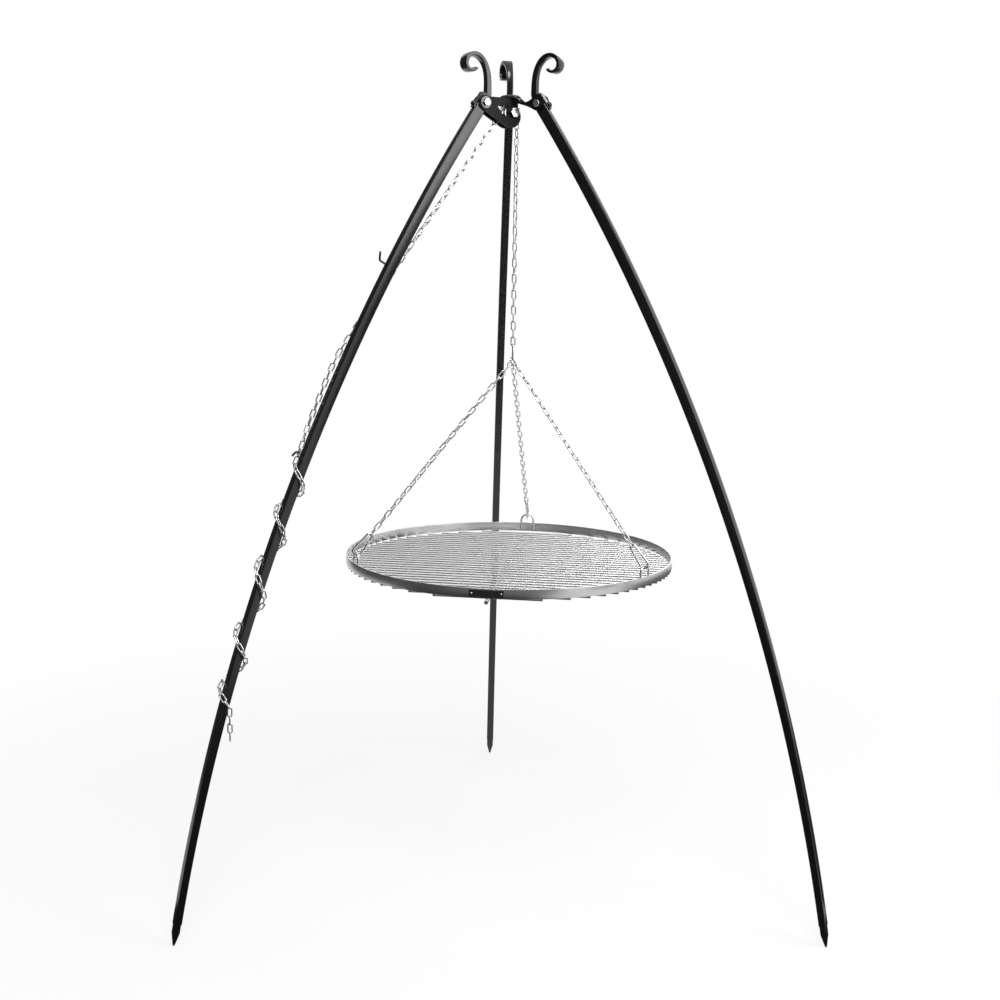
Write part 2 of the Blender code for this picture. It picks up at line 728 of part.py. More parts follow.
def chain(name, joints, first_wide, parent, last_wide=None, loose_start=GAP / 2, loose_end=GAP / 2):
    """Links between joints, fused to each other; the end links stand clear of what they hang on."""
    directions = [(b - a).normalized() for a, b in zip(joints, joints[1:])]
    wides = twist_steps(directions, first_wide, last_wide)
    last = len(directions) - 1
    shapes = [bmesh.new(), bmesh.new()]
    for i, wide in enumerate(wides):
        start_in = -loose_start if i == 0 else CHAIN_BITE
        end_in = -loose_end if i == last else CHAIN_BITE
        link = loft(link_rings(joints[i], joints[i + 1], wide, start_in, end_in), looped=True)
        bmesh.ops.recalc_face_normals(link, faces=link.faces)
        mesh = bpy.data.meshes.new("link")
        link.to_mesh(mesh)
        link.free()
        shapes[i % 2].from_mesh(mesh)
        bpy.data.meshes.remove(mesh)
    item = add(name, shapes[0], ZINC, parent)
    if last > 0:
        combine(item, add(name + "_every_other_link", shapes[1], ZINC, parent), "UNION")
    else:
        shapes[1].free()
    return wides


def walk(path, pitch, count):
    """Points along a dense path, each one pitch in a straight line from the last."""
    points = [path[0]]
    i = 0
    while len(points) <= count and i + 1 < len(path):
        if (path[i + 1] - points[-1]).length < pitch:
            i += 1
            continue
        a, b, base = path[i], path[i + 1], points[-1]
        low, high = 0.0, 1.0
        for _ in range(30):
            middle = (low + high) / 2
            if (a.lerp(b, middle) - base).length < pitch:
                low = middle
            else:
                high = middle
        points.append(a.lerp(b, high))
    return points


def straight(start, end, step=0.001):
    count = max(1, int((end - start).length / step))
    return [start.lerp(end, i / count) for i in range(count + 1)]


# The plane of the left leg, in world directions
LEFT_OUT = Matrix.Rotation(math.radians(LEG_AZIMUTHS["left"]), 3, "Z") @ Vector((1, 0, 0))
LEFT_SIDE = Matrix.Rotation(math.radians(LEG_AZIMUTHS["left"]), 3, "Z") @ Vector((0, 1, 0))
UP = Vector((0, 0, 1))


def in_left_plane(radius, side, height):
    """A world point from its place in the left leg's plane, height from the floor."""
    return LEFT_OUT * radius + LEFT_SIDE * side + UP * height


ROLLER_HEIGHT = PIVOT_HEIGHT - ROLLER_DROP
side_off = LEG_WIDTH / 2 + CHAIN_STANDOFF
behind = leg_place(PASS_START_DOWN, -leg_depth(PASS_START_DOWN) / 2, -side_off)
behind_height = behind.z + PIVOT_HEIGHT
behind_radius = behind.x + PIVOT_RADIUS

# Where the chain to the leg leaves the roller, and the point on it nearest to the leg's pivot
reach = Vector((behind_radius, behind_height - ROLLER_HEIGHT))
leave = math.atan2(reach.y, reach.x) + math.acos(ROLLER_PITCH_RADIUS / reach.length)
leave_radius = ROLLER_PITCH_RADIUS * math.cos(leave)
leave_height = ROLLER_HEIGHT + ROLLER_PITCH_RADIUS * math.sin(leave)
run = Vector((behind_radius - leave_radius, behind_height - leave_height)).normalized()
to_pivot = Vector((PIVOT_RADIUS - leave_radius, PIVOT_HEIGHT - leave_height))
split_run = to_pivot.dot(run)
whole_run = math.hypot(behind_radius - leave_radius, behind_height - leave_height)
split_side = -side_off * split_run / whole_run
split = Vector((leave_radius + run.x * split_run, split_side, leave_height + run.y * split_run))

# Hub side: back up to the roller, over it and straight down
over = []
for i in range(90):
    turn = leave + (math.pi - leave) * i / 89
    height = ROLLER_HEIGHT + ROLLER_PITCH_RADIUS * math.sin(turn)
    over.append(in_left_plane(ROLLER_PITCH_RADIUS * math.cos(turn), 0, height))
strand_top = over[-1]
strand_foot = Vector((strand_top.x, strand_top.y, CENTRE_HOOK_TOP - CENTRE_HOOK_ROD * 2 - GAP))
STRAND = Vector((strand_top.x, strand_top.y, 0))
path = straight(in_left_plane(*split), over[0]) + over[1:] + straight(strand_top, strand_foot)[1:]
hub_joints = walk(path, CHAIN_PITCH, 60)
first_hanging = next(i for i, joint in enumerate(hub_joints)
                     if (joint - strand_top).xy.length < 0.0001 and joint.z < ROLLER_HEIGHT)
roller_joints = hub_joints[:first_hanging + 2]
hanging_top = roller_joints[-1]
hanging_length = hanging_top.z - strand_foot.z
hanging_count = round(hanging_length / CHAIN_PITCH)
hanging_pitch = hanging_length / hanging_count
hanging = [hanging_top - UP * hanging_pitch * i for i in range(hanging_count + 1)]
roller_wides = chain("roller_chain", roller_joints, LEFT_SIDE, ORIGIN)

# Each top link swings about the wire it hangs on; the chain below turns about its own length
wide = UP.cross(roller_wides[-1]).normalized()
hanger = ORIGIN
hanger_place = Vector((0, 0, 0))
for i in range(SWING_LINKS):
    place = hanging[i] - UP * (LINK_HALF + GAP / 2)
    hanger = empty(f"top_link_{i + 1}_hinge", place - hanger_place, hanger)
    hanger_place = place
    chain(f"top_link_{i + 1}", [joint - place for joint in hanging[i:i + 2]], wide, hanger)
    wide = UP.cross(wide).normalized()
SWIVEL = empty("hanging_chain_swivel", STRAND - hanger_place, hanger)
lift_joints = [joint - STRAND for joint in hanging[SWING_LINKS:]]
chain("lift_chain", lift_joints, wide, SWIVEL, Vector((1, 0, 0)), loose_end=0)


def fitted_walk(path, pitch):
    """Joints from one end of a path to the other, at the pitch nearest to the wanted one that fits."""
    length = sum((b - a).length for a, b in zip(path, path[1:]))
    count = round(length / pitch)
    low, high = pitch * 0.95, pitch * 1.05
    for _ in range(24):
        middle = (low + high) / 2
        if len(walk(path, middle, count)) > count:
            low = middle
        else:
            high = middle
    return walk(path, low, count)


# Leg side: straight behind the leg, round its far corner and down its outer face to the lower hook
hook_out = leg_depth(LOWER_HOOK_DOWN) / 2 + CHAIN_STANDOFF + 0.0006
leave_corner = PASS_END_DOWN + 0.045
guide = [
    split - Vector((PIVOT_RADIUS, 0, PIVOT_HEIGHT)),
    behind,
    leg_place(PASS_END_DOWN, leg_depth(PASS_END_DOWN) / 2 + 0.003, -side_off),
    leg_place(leave_corner, leg_depth(leave_corner) / 2 + CHAIN_STANDOFF + 0.001, -side_off + 0.003),
    leg_place(LOWER_HOOK_DOWN - 0.060, hook_out, -0.008),
    leg_place(LOWER_HOOK_DOWN - CHAIN_PITCH, hook_out, 0),
    leg_place(LOWER_HOOK_DOWN + CHAIN_PITCH / 2, hook_out, 0),
]
path = []
for a, b in zip(guide, guide[1:]):
    path += straight(a, b)[:-1]
path.append(guide[-1])
chain("leg_chain", fitted_walk(path, CHAIN_PITCH), Vector((1, 0, 0)), HINGES["left"], Vector((0, 1, 0)))

# The rest of the chain, wound round the leg below the hook, with its end hanging free
start_turn = 1 / 8
wrap_start = LOWER_HOOK_DOWN + CHAIN_PITCH * 1.45
wrap_path = straight(guide[-1], leg_place(wrap_start, hook_out, 0))
end_turn = len(WRAP_TURNS_DOWN) - 1 + WRAP_LAST_PART
knots = [(start_turn, wrap_start)] + [(i + 1, down) for i, down in enumerate(WRAP_TURNS_DOWN)]
steps = 420
for i in range(1, steps + 1):
    turns = start_turn + (end_turn - start_turn) * i / steps
    before = max(knot for knot in knots if knot[0] <= turns)
    after = min(knot for knot in knots if knot[0] > turns)
    down = before[1] + (after[1] - before[1]) * (turns - before[0]) / (after[0] - before[0])
    full = math.hypot(leg_depth(down) / 2, LEG_WIDTH / 2) - LEG_CORNER / 2 + WRAP_CLEARANCE
    radius = hook_out + (full - hook_out) * min(1.0, (turns - start_turn) / 0.15)
    angle = 2 * math.pi * (turns - start_turn)
    wrap_path.append(leg_place(down, radius * math.cos(angle), radius * math.sin(angle)))
tail_top = wrap_path[-1]
tail = [tail_top - UP * CHAIN_PITCH * TAIL_LINKS * i / 60 for i in range(1, 61)]
chain("wrap_chain", fitted_walk(wrap_path + tail, CHAIN_PITCH), Vector((1, 0, 0)), HINGES["left"])


# Hooks of round rod on the left leg's outer face
def leg_hook(name, down, reach, tip, turn):
    """Out of the leg's face, round a bend, then down along it, or up when turn is -1."""
    _, along, outward = leg_frame(down)
    foot = leg_place(down, leg_depth(down) / 2 + GAP, 0)
    bend_radius = HOOK_ROD * 2.2
    corner = foot + outward * (reach - bend_radius)
    points = [foot, foot + outward * (reach - bend_radius) * 0.5, corner]
    for i in range(1, 5):
        angle = math.radians(70) * i / 4
        out = outward * bend_radius * math.sin(angle)
        points.append(corner + out + along * turn * bend_radius * (1 - math.cos(angle)))
    direction = (points[-1] - points[-2]).normalized()
    points.append(points[-1] + direction * tip)
    wire(name, points, HOOK_ROD, BLACK, HINGES["left"])


leg_hook("upper_chain_hook", UPPER_HOOK_DOWN, UPPER_HOOK_REACH, UPPER_HOOK_TIP, -1)
leg_hook("lower_chain_hook", LOWER_HOOK_DOWN, LOWER_HOOK_REACH, LOWER_HOOK_TIP, 1)


# Snap hooks: a bent rod with a sprung gate in one side
def snap_outline(length, top_width, bottom_width, rod, gate_top_part, gate_foot_part):
    """The rod's centreline in its own plane (across, down), from the gate's foot round to its hinge."""
    top = (top_width / 2 - rod, bottom_width / 2 - rod)
    top_centre = rod + top[0]
    bottom_centre = length - rod - top[1]
    lean = math.degrees(math.asin((top[1] - top[0]) / (bottom_centre - top_centre)))
    low = arc((0, bottom_centre), top[1], 180 + lean, -lean, 7)
    high = arc((0, top_centre), top[0], -lean, -180 + lean, 6)
    side_top, side_foot = Vector(high[-1]), Vector(low[0])
    foot = side_top.lerp(side_foot, gate_foot_part)
    hinge = side_top.lerp(side_foot, gate_top_part)
    return [foot] + low + high + [hinge], foot, hinge


def snap_hook(name, top_point, down_direction, across, size, parent):
    """Body and gate of a snap hook; returns the middle of its rod at the lower bow."""
    length, _, _, rod, _, _ = size
    outline, foot, hinge = snap_outline(*size)
    start = top_point - down_direction * rod

    def place(point):
        return start + across * point[0] + down_direction * point[1]
    wire(name, [place(point) for point in outline], rod, ZINC, parent)
    gate_rod = rod * 0.86
    along = (place(foot) - place(hinge)).normalized()
    pin = place(hinge) + along * (gate_rod + GAP)
    opening_axis = along.cross(across).normalized()
    axes = Matrix((opening_axis.cross(-along), opening_axis, -along)).transposed()
    hinge_frame = empty(name + "_gate_hinge", pin, parent, axes=axes)
    gate_length = (place(foot) - pin).length - GAP
    gate = [(0, 0, height) for height in (gate_rod * 0.96, gate_rod * 0.5, 0, -gate_length)]
    wire(name + "_gate", gate, gate_rod, ZINC, hinge_frame, [0.3, 0.85, 1, 1])
    return start + down_direction * (length - rod)


GRATE = empty("grate_lift", (0, 0, 0), SWIVEL)
grate_frame = empty("grate_frame", (0, 0, GRATE_TOP), GRATE, math.radians(GRATE_TURN))
centre_size = (CENTRE_HOOK_LENGTH, CENTRE_HOOK_WIDTH * 0.8, CENTRE_HOOK_WIDTH, CENTRE_HOOK_ROD,
               CENTRE_GATE_TOP_PART, CENTRE_GATE_FOOT_PART)
snap_size = (SNAP_LENGTH, SNAP_TOP_WIDTH, SNAP_WIDTH, SNAP_ROD, GATE_TOP_PART, GATE_FOOT_PART)
hook_top = UP * (CENTRE_HOOK_TOP - CENTRE_HOOK_ROD)
hook_low = snap_hook("centre_snap_hook", hook_top, -UP, Vector((0, -1, 0)), centre_size, GRATE)

# Grate chains: from the centre hook's bow out to a snap hook at each bail
bow_radius = CENTRE_HOOK_WIDTH / 2 - CENTRE_HOOK_ROD
bow_centre = hook_low + UP * bow_radius
rim_inner_flat = (RIM_RADIUS - RIM_THICK) * math.cos(math.pi / RIM_SEGMENTS)
bail_reach = BAIL_HALF_WIDTH + BAIL_ROD
bail_radius = math.sqrt(rim_inner_flat ** 2 - bail_reach ** 2) - GAP - BAIL_ROD
for i, azimuth in enumerate(BAIL_AZIMUTHS):
    turn = math.radians(azimuth)
    outward = Vector((math.cos(turn), math.sin(turn), 0))
    tangent = UP.cross(outward)
    tilt = math.radians(BOW_TILTS[i])
    bow_wire = Vector((0, math.cos(tilt), math.sin(tilt)))
    on_bow = bow_centre + Vector((0, math.sin(tilt), -math.cos(tilt))) * bow_radius
    bail_top = outward * bail_radius + UP * (GRATE_TOP + BAIL_RISE)
    clear = BAIL_ROD + SNAP_ROD + GAP
    down_direction = (bail_top - on_bow).normalized()
    low_end = bail_top + down_direction * clear
    snap_start = low_end - down_direction * (SNAP_LENGTH - 2 * SNAP_ROD)
    across = down_direction.cross(tangent).normalized()
    if across.dot(outward) < 0:
        across = -across
    label = ("back", "left", "right")[i]
    snap_hook(label + "_snap_hook", snap_start, down_direction, across, snap_size, GRATE)
    chain_start = on_bow - down_direction * (CENTRE_HOOK_ROD + TURNED_LINK_EASE)
    chain_end = snap_start + down_direction * (SNAP_ROD + GAP)
    count = round((chain_end - chain_start).length / CHAIN_PITCH)
    joints = [chain_start.lerp(chain_end, k / count) for k in range(count + 1)]
    chain(label + "_grate_chain", joints, bow_wire.cross(down_direction), GRATE, tangent, 0, 0)

    # The bail: a hoop of rod standing up from the rim's inner side
    hoop = [(-BAIL_HALF_WIDTH, -BAIL_LEG_DOWN)]
    hoop += arc((0, BAIL_RISE - BAIL_HALF_WIDTH), BAIL_HALF_WIDTH, 180, 0, 6)
    hoop.append((BAIL_HALF_WIDTH, -BAIL_LEG_DOWN))
    points = [outward * bail_radius + tangent * x + UP * (GRATE_TOP + z) for x, z in hoop]
    wire(label + "_bail", points, BAIL_ROD, STEEL, GRATE)


# Grate: rim, rods welded to a cross-bar under it, bare nameplate and its rivets
def rim_ring(angle, inner, outer, low, high):
    out = Vector((math.cos(angle), math.sin(angle), 0))
    return [out * outer + UP * high, out * outer + UP * low, out * inner + UP * low, out * inner + UP * high]


rim_angles = [2 * math.pi * i / RIM_SEGMENTS for i in range(RIM_SEGMENTS)]
rings = [rim_ring(angle, RIM_RADIUS - RIM_THICK, RIM_RADIUS, -RIM_HEIGHT, 0) for angle in rim_angles]
rim = add("grate_rim", loft(rings, looped=True), STEEL, grate_frame)

rods = bmesh.new()
rod_reach = RIM_RADIUS - RIM_THICK / 4
rod_flat = ROD_RADIUS * math.cos(math.pi / 6)
rod_height = -RIM_HEIGHT - GAP - rod_flat
count = int(rod_reach * 0.97 / ROD_PITCH)
for i in range(-count, count + 1):
    offset = i * ROD_PITCH
    half = math.sqrt(rod_reach ** 2 - (abs(offset) + ROD_RADIUS) ** 2)
    turn = Matrix.Rotation(math.pi / 2, 4, "Y")
    bmesh.ops.create_cone(rods, cap_ends=True, segments=6, radius1=ROD_RADIUS, radius2=ROD_RADIUS,
                          depth=2 * half, matrix=Matrix.Translation((0, offset, rod_height)) @ turn)
grate_rods = add("grate_rods", rods, STEEL, grate_frame)
bar = bmesh.new()
bar_height = rod_height - rod_flat - CROSS_BAR_RADIUS + WELD_DEPTH
bar_turn = Matrix.Rotation(math.pi / 2, 4, "X")
bmesh.ops.create_cone(bar, cap_ends=True, segments=8, radius1=CROSS_BAR_RADIUS, radius2=CROSS_BAR_RADIUS,
                      depth=2 * (rod_reach - CROSS_BAR_INSET), matrix=Matrix.Translation((0, 0, bar_height)) @ bar_turn)
combine(grate_rods, add("cross_bar", bar, STEEL, grate_frame), "UNION")

plate_inner = RIM_RADIUS + GAP
plate_half = PLATE_WIDTH / 2 / plate_inner
front = math.radians(-90)
plate_angles = [front + plate_half * (2 * i / 8 - 1) for i in range(9)]
low = -PLATE_DROP - PLATE_HEIGHT / 2
plate_outer = plate_inner + PLATE_THICK
rings = [rim_ring(angle, plate_inner, plate_outer, low, low + PLATE_HEIGHT) for angle in plate_angles]
plate = add("nameplate", loft(rings), STEEL, grate_frame)
for label, side in (("left", -1), ("right", 1)):
    angle = front + side * RIVET_SPREAD / plate_inner
    out = Vector((math.cos(angle), math.sin(angle), 0))
    face = plate_outer + GAP
    seat = out * face - UP * PLATE_DROP
    axes = out.to_track_quat("Z", "Y").to_matrix().to_4x4()
    shank = PLATE_THICK + RIM_THICK
    profile = [(0, RIVET_HEAD * 0.5), (RIVET_HEAD * 0.7, RIVET_HEAD * 0.35), (RIVET_HEAD, 0),
               (RIVET_RADIUS, 0), (RIVET_RADIUS, -shank), (0, -shank)]
    turned(f"nameplate_rivet_{label}", profile, 10, ZINC, grate_frame, Matrix.Translation(seat) @ axes)
    for target in (plate, rim):
        hole = rod_between(seat - out * 0.010, seat + out * 0.005, RIVET_RADIUS + GAP, 8)
        combine(target, add(f"{target.name}_{label}_hole", hole, STEEL, grate_frame), "DIFFERENCE")

# Stand the model over the middle of its footprint
bpy.context.view_layer.update()
graph = bpy.context.evaluated_depsgraph_get()
corners = []
for item in PARTS.objects:
    if item.type == "MESH":
        ready = item.evaluated_get(graph)
        corners += [ready.matrix_world @ vertex.co for vertex in ready.data.vertices]
ORIGIN.location.x = -(min(c.x for c in corners) + max(c.x for c in corners)) / 2
ORIGIN.location.y = -(min(c.y for c in corners) + max(c.y for c in corners)) / 2
bpy.context.view_layer.update()
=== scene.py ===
# %% [markdown]
# # A campfire tripod with a hanging grate
# Three bowed rectangular tubes meet at a small hub of flat plates. A chain runs over a roller in the hub:
# one end holds the grate, the other is hooked to the left leg and wound round it.
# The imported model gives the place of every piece. This lesson gives each one its fine surface.

# %% Load the fixed frame
import json
import math

import bmesh
import bpy
from mathutils import Matrix, Vector


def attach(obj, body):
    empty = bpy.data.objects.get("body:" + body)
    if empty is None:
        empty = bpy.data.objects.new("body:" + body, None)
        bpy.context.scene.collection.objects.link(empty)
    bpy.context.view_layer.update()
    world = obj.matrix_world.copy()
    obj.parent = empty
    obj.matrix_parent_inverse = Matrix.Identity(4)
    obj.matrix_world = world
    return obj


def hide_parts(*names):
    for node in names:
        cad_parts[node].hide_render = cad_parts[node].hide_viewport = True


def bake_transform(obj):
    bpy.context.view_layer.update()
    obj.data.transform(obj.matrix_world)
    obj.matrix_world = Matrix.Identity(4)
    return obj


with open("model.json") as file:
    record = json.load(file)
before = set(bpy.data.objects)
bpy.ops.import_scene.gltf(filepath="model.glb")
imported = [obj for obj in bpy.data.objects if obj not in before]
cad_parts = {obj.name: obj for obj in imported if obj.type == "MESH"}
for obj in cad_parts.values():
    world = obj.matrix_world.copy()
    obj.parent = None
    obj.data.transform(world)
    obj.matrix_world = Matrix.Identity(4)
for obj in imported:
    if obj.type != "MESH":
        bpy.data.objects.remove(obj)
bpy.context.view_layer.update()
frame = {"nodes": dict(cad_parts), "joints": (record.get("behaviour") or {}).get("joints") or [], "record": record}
BODIES = frame["record"]["behaviour"]["bodies"]
BODY_OF = {node: body for body, nodes in BODIES.items() for node in nodes}
JOINTS = {joint["name"]: joint for joint in frame["joints"]}

# %% [markdown]
# The leg pivots come from the joints of the model. The tripod's axis is in the middle of the three,
# and each leg has its own upright frame: X outward, Y to its side, Z up.

# %% Frames of the legs, the hub and the hanging chain
LEG_AZIMUTHS = {"left": 210, "right": 330, "back": 90}
PIVOTS = {side: Vector(JOINTS[side + "_leg_fold"]["pos_m"]) for side in LEG_AZIMUTHS}
AXIS = sum(PIVOTS.values(), Vector()) / len(PIVOTS)
PIVOT_HEIGHT = AXIS.z
PIVOT_RADIUS = (PIVOTS["back"] - AXIS).length
UP = Vector((0, 0, 1))


def upright_frame(place, azimuth):
    return Matrix.Translation(place) @ Matrix.Rotation(math.radians(azimuth), 4, "Z")


LEG_FRAMES = {side: upright_frame(PIVOTS[side], turn) for side, turn in LEG_AZIMUTHS.items()}
HUB_FRAMES = {side: upright_frame(AXIS, turn) for side, turn in LEG_AZIMUTHS.items()}
STRAND = Vector(JOINTS["chain_swivel"]["pos_m"])
STRAND.z = 0
print("axis", [round(x, 4) for x in AXIS], "pivot radius", round(PIVOT_RADIUS, 4))

# %% [markdown]
# The camera stands where the photographer's stood: a little below eye height, three metres away and
# looking a little down. Its lens is given in pixels of the square picture. A camera placed by eye would do
# for a pretty picture. This one was fitted, so that a render can be laid over the photograph.

# %% Camera
FOCAL_PIXELS = 1448.93
PICTURE_PIXELS = 1000
EYE_AZIMUTH = -0.03446
EYE_DISTANCE = 3.05641
EYE_HEIGHT = 1.36368
EYE_PITCH = -0.17161
EYE_YAW = EYE_AZIMUTH + 0.00251
EYE_ROLL = 0.01739
SENSOR_WIDTH = 36
CLIP_START = 0.05
CLIP_END = 100


def make_camera():
    data = bpy.data.cameras.new("camera")
    data.sensor_width = SENSOR_WIDTH
    data.lens = SENSOR_WIDTH * FOCAL_PIXELS / PICTURE_PIXELS
    data.clip_start = CLIP_START
    data.clip_end = CLIP_END
    item = bpy.data.objects.new("camera", data)
    bpy.context.scene.collection.objects.link(item)
    bpy.context.scene.camera = item
    sight = Vector((-math.sin(EYE_YAW) * math.cos(EYE_PITCH), math.cos(EYE_YAW) * math.cos(EYE_PITCH),
                    math.sin(EYE_PITCH)))
    right = Vector((math.cos(EYE_YAW), math.sin(EYE_YAW), 0))
    over = right.cross(sight)
    right_rolled = right * math.cos(EYE_ROLL) + over * math.sin(EYE_ROLL)
    over_rolled = over * math.cos(EYE_ROLL) - right * math.sin(EYE_ROLL)
    turn = Matrix((right_rolled, over_rolled, -sight)).transposed()
    eye = Vector((AXIS.x + EYE_DISTANCE * math.sin(EYE_AZIMUTH),
                  AXIS.y - EYE_DISTANCE * math.cos(EYE_AZIMUTH), EYE_HEIGHT))
    item.matrix_world = Matrix.Translation(eye) @ turn.to_4x4()
    return item


camera = make_camera()
print("lens", round(camera.data.lens, 2), "mm")

# %% [markdown]
# Shader and geometry trees share one small class: it wraps a socket, and each Python operator on it
# adds a Math or Vector Math node. Every other node comes from `add_node`. Nodes could be made and linked
# one by one, but a sum written as a sum is easier to read.

# %% Nodes as Python expressions


class Flow:
    """A socket that takes Python's operators."""

    def __init__(self, tree, socket):
        self.tree = tree
        self.socket = socket
        self.is_vector = socket.type == "VECTOR"

    def joined(self, operation, first, second):
        flows = [value for value in (first, second) if isinstance(value, Flow)]
        if not any(flow.is_vector for flow in flows):
            return add_node(self.tree, "ShaderNodeMath", {"operation": operation}, {0: first, 1: second})
        kind = "ShaderNodeVectorMath"
        if operation == "MULTIPLY":
            first_is_vector = isinstance(first, Flow) and first.is_vector
            vector, factor = (first, second) if first_is_vector else (second, first)
            return add_node(self.tree, kind, {"operation": "SCALE"}, {0: vector, "Scale": factor})
        return add_node(self.tree, kind, {"operation": operation}, {0: first, 1: second})

    def __add__(self, other):
        return self.joined("ADD", self, other)

    def __radd__(self, other):
        return self.joined("ADD", other, self)

    def __sub__(self, other):
        return self.joined("SUBTRACT", self, other)

    def __rsub__(self, other):
        return self.joined("SUBTRACT", other, self)

    def __mul__(self, other):
        return self.joined("MULTIPLY", self, other)

    def __rmul__(self, other):
        return self.joined("MULTIPLY", other, self)

    def __truediv__(self, other):
        return self.joined("DIVIDE", self, other)

    def function(self, operation):
        return add_node(self.tree, "ShaderNodeMath", {"operation": operation}, {0: self})


def feed(tree, socket, value):
    if isinstance(value, Flow):
        tree.links.new(value.socket, socket)
    else:
        socket.default_value = value


def add_node(tree, kind, settings=None, values=None, out=0):
    """A node with its settings made first, then its sockets fed; returns one output."""
    node = tree.nodes.new(kind)
    for name, value in (settings or {}).items():
        if name == "stops":
            for stop, (place, shade) in zip(node.color_ramp.elements, value):
                stop.position = place
                stop.color = (shade, shade, shade, 1)
        else:
            setattr(node, name, value)
    for key, value in (values or {}).items():
        feed(tree, node.inputs[key], value)
    return Flow(tree, node.outputs[out])


# %% [markdown]
# Three kinds of finish cover the object. The tubes and plates are black powder coat, a satin skin with a
# faint orange peel, duller on the hub. Bolts, chains and snap hooks are bright zinc, cloudy from the bath.
# The washer's zinc is rougher, and its colour is painted much darker as painted shade. The grate is
# stainless steel: rolled flat bar for the rim, drawn rod for the bars, with fine lines along it. Pictures
# could do this too. Noise in object space needs no unwrapping and is as fine as wanted.

# %% Finishes
BUMP_HEIGHT = 0.0001


def start_material(name, colour, metallic, roughness):
    material = bpy.data.materials.new(name)
    material.use_nodes = True
    tree = material.node_tree
    shader = tree.nodes["Principled BSDF"]
    shader.inputs["Base Color"].default_value = (*colour, 1)
    shader.inputs["Metallic"].default_value = metallic
    shader.inputs["Roughness"].default_value = roughness
    return material, tree, shader


def object_noise(tree, stretch, detail=3.0):
    """Noise in object space, stretched by three scales per metre."""
    place = add_node(tree, "ShaderNodeTexCoord", out=3)
    mapped = add_node(tree, "ShaderNodeMapping", values={"Vector": place, "Scale": stretch})
    return add_node(tree, "ShaderNodeTexNoise", values={"Vector": mapped, "Scale": 1.0, "Detail": detail})


def tint(tree, factor, dark, light):
    """A colour between two, by a factor."""
    return add_node(tree, "ShaderNodeMix", {"data_type": "RGBA"},
                    {0: factor, 6: (*dark, 1), 7: (*light, 1)}, out=2)


def bump(tree, height, strength):
    return add_node(tree, "ShaderNodeBump", values={
        "Height": height, "Strength": strength, "Distance": BUMP_HEIGHT})


def powder_coat(name, roughness, shine):
    """Black powder coat; the shine is how much it mirrors."""
    material, tree, shader = start_material(name, (0.006, 0.006, 0.0065), 0.0, roughness)
    cloud = object_noise(tree, (35, 35, 35))
    peel = object_noise(tree, (1100, 1100, 1100), 1.0)
    dark, light = (0.0025, 0.0025, 0.0028), (0.006, 0.006, 0.0064)
    feed(tree, shader.inputs["Base Color"], tint(tree, cloud, dark, light))
    feed(tree, shader.inputs["Roughness"], roughness + cloud * 0.12)
    feed(tree, shader.inputs["Normal"], bump(tree, peel, 0.2))
    shader.inputs["Specular IOR Level"].default_value = shine
    return material


def zinc_plate(name, roughness, dark, light):
    material, tree, shader = start_material(name, light, 1.0, roughness)
    cloud = object_noise(tree, (120, 120, 120))
    grain = object_noise(tree, (900, 900, 900), 2.0)
    feed(tree, shader.inputs["Base Color"], tint(tree, cloud, dark, light))
    feed(tree, shader.inputs["Roughness"], roughness + cloud * 0.2)
    feed(tree, shader.inputs["Normal"], bump(tree, grain, 0.12))
    return material


def stainless(name, stretch, roughness, dark, light):
    """Rolled or drawn stainless steel: its fine lines run where the stretch is small."""
    material, tree, shader = start_material(name, light, 1.0, roughness)
    lines = object_noise(tree, stretch, 4.0)
    cloud = object_noise(tree, (18, 18, 18))
    mottle = lines * 0.6 + cloud * 0.4
    feed(tree, shader.inputs["Base Color"], tint(tree, mottle, dark, light))
    feed(tree, shader.inputs["Roughness"], (roughness - 0.1) + mottle * 0.2)
    feed(tree, shader.inputs["Normal"], bump(tree, lines, 0.15))
    return material


BLACK = powder_coat("black_powder_coat_finish", 0.13, 0.55)
HUB_BLACK = powder_coat("hub_plate_finish", 0.38, 0.14)
ZINC = zinc_plate("bright_zinc_finish", 0.13, (0.56, 0.57, 0.59), (0.86, 0.87, 0.88))
# Washer zinc: rougher than bright zinc, and with painted shade: its colour is made far darker to stand for the
# shade behind the bolt head.
DULL_ZINC_PAINTED_SHADE = zinc_plate("dull_zinc_with_painted_shade_finish", 0.32, (0.10, 0.10, 0.105), (0.2, 0.2, 0.21))
RIM_STEEL = stainless("rolled_rim_finish", (9, 9, 1500), 0.30, (0.44, 0.44, 0.45), (0.78, 0.78, 0.79))
ROD_STEEL = stainless("drawn_rod_finish", (60, 700, 700), 0.30, (0.50, 0.50, 0.51), (0.80, 0.80, 0.81))
PLATE_STEEL = stainless("darkened_plate_finish", (400, 400, 60), 0.42,
                        (0.07, 0.07, 0.072), (0.13, 0.13, 0.135))

# %% [markdown]
# Every finished piece goes through one function. It makes the object at the origin, shades it smooth up
# to an angle, gives it its finish, hides the node that it stands for and puts it on the body it rides on.
# The place goes into the mesh, not the object: the finishes are patterns in object space and would slide
# otherwise.

# %% Making a piece
MERGE_DISTANCE = 0.000002


def settle(item, material, nodes, smooth_angle=35):
    """Shade a piece, give it its finish and hide the model's nodes that it stands for."""
    if material.name not in item.data.materials:
        item.data.materials.clear()
        item.data.materials.append(material)
    item.data.shade_smooth()
    item.data.set_sharp_from_angle(angle=math.radians(smooth_angle))
    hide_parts(*nodes)
    return item


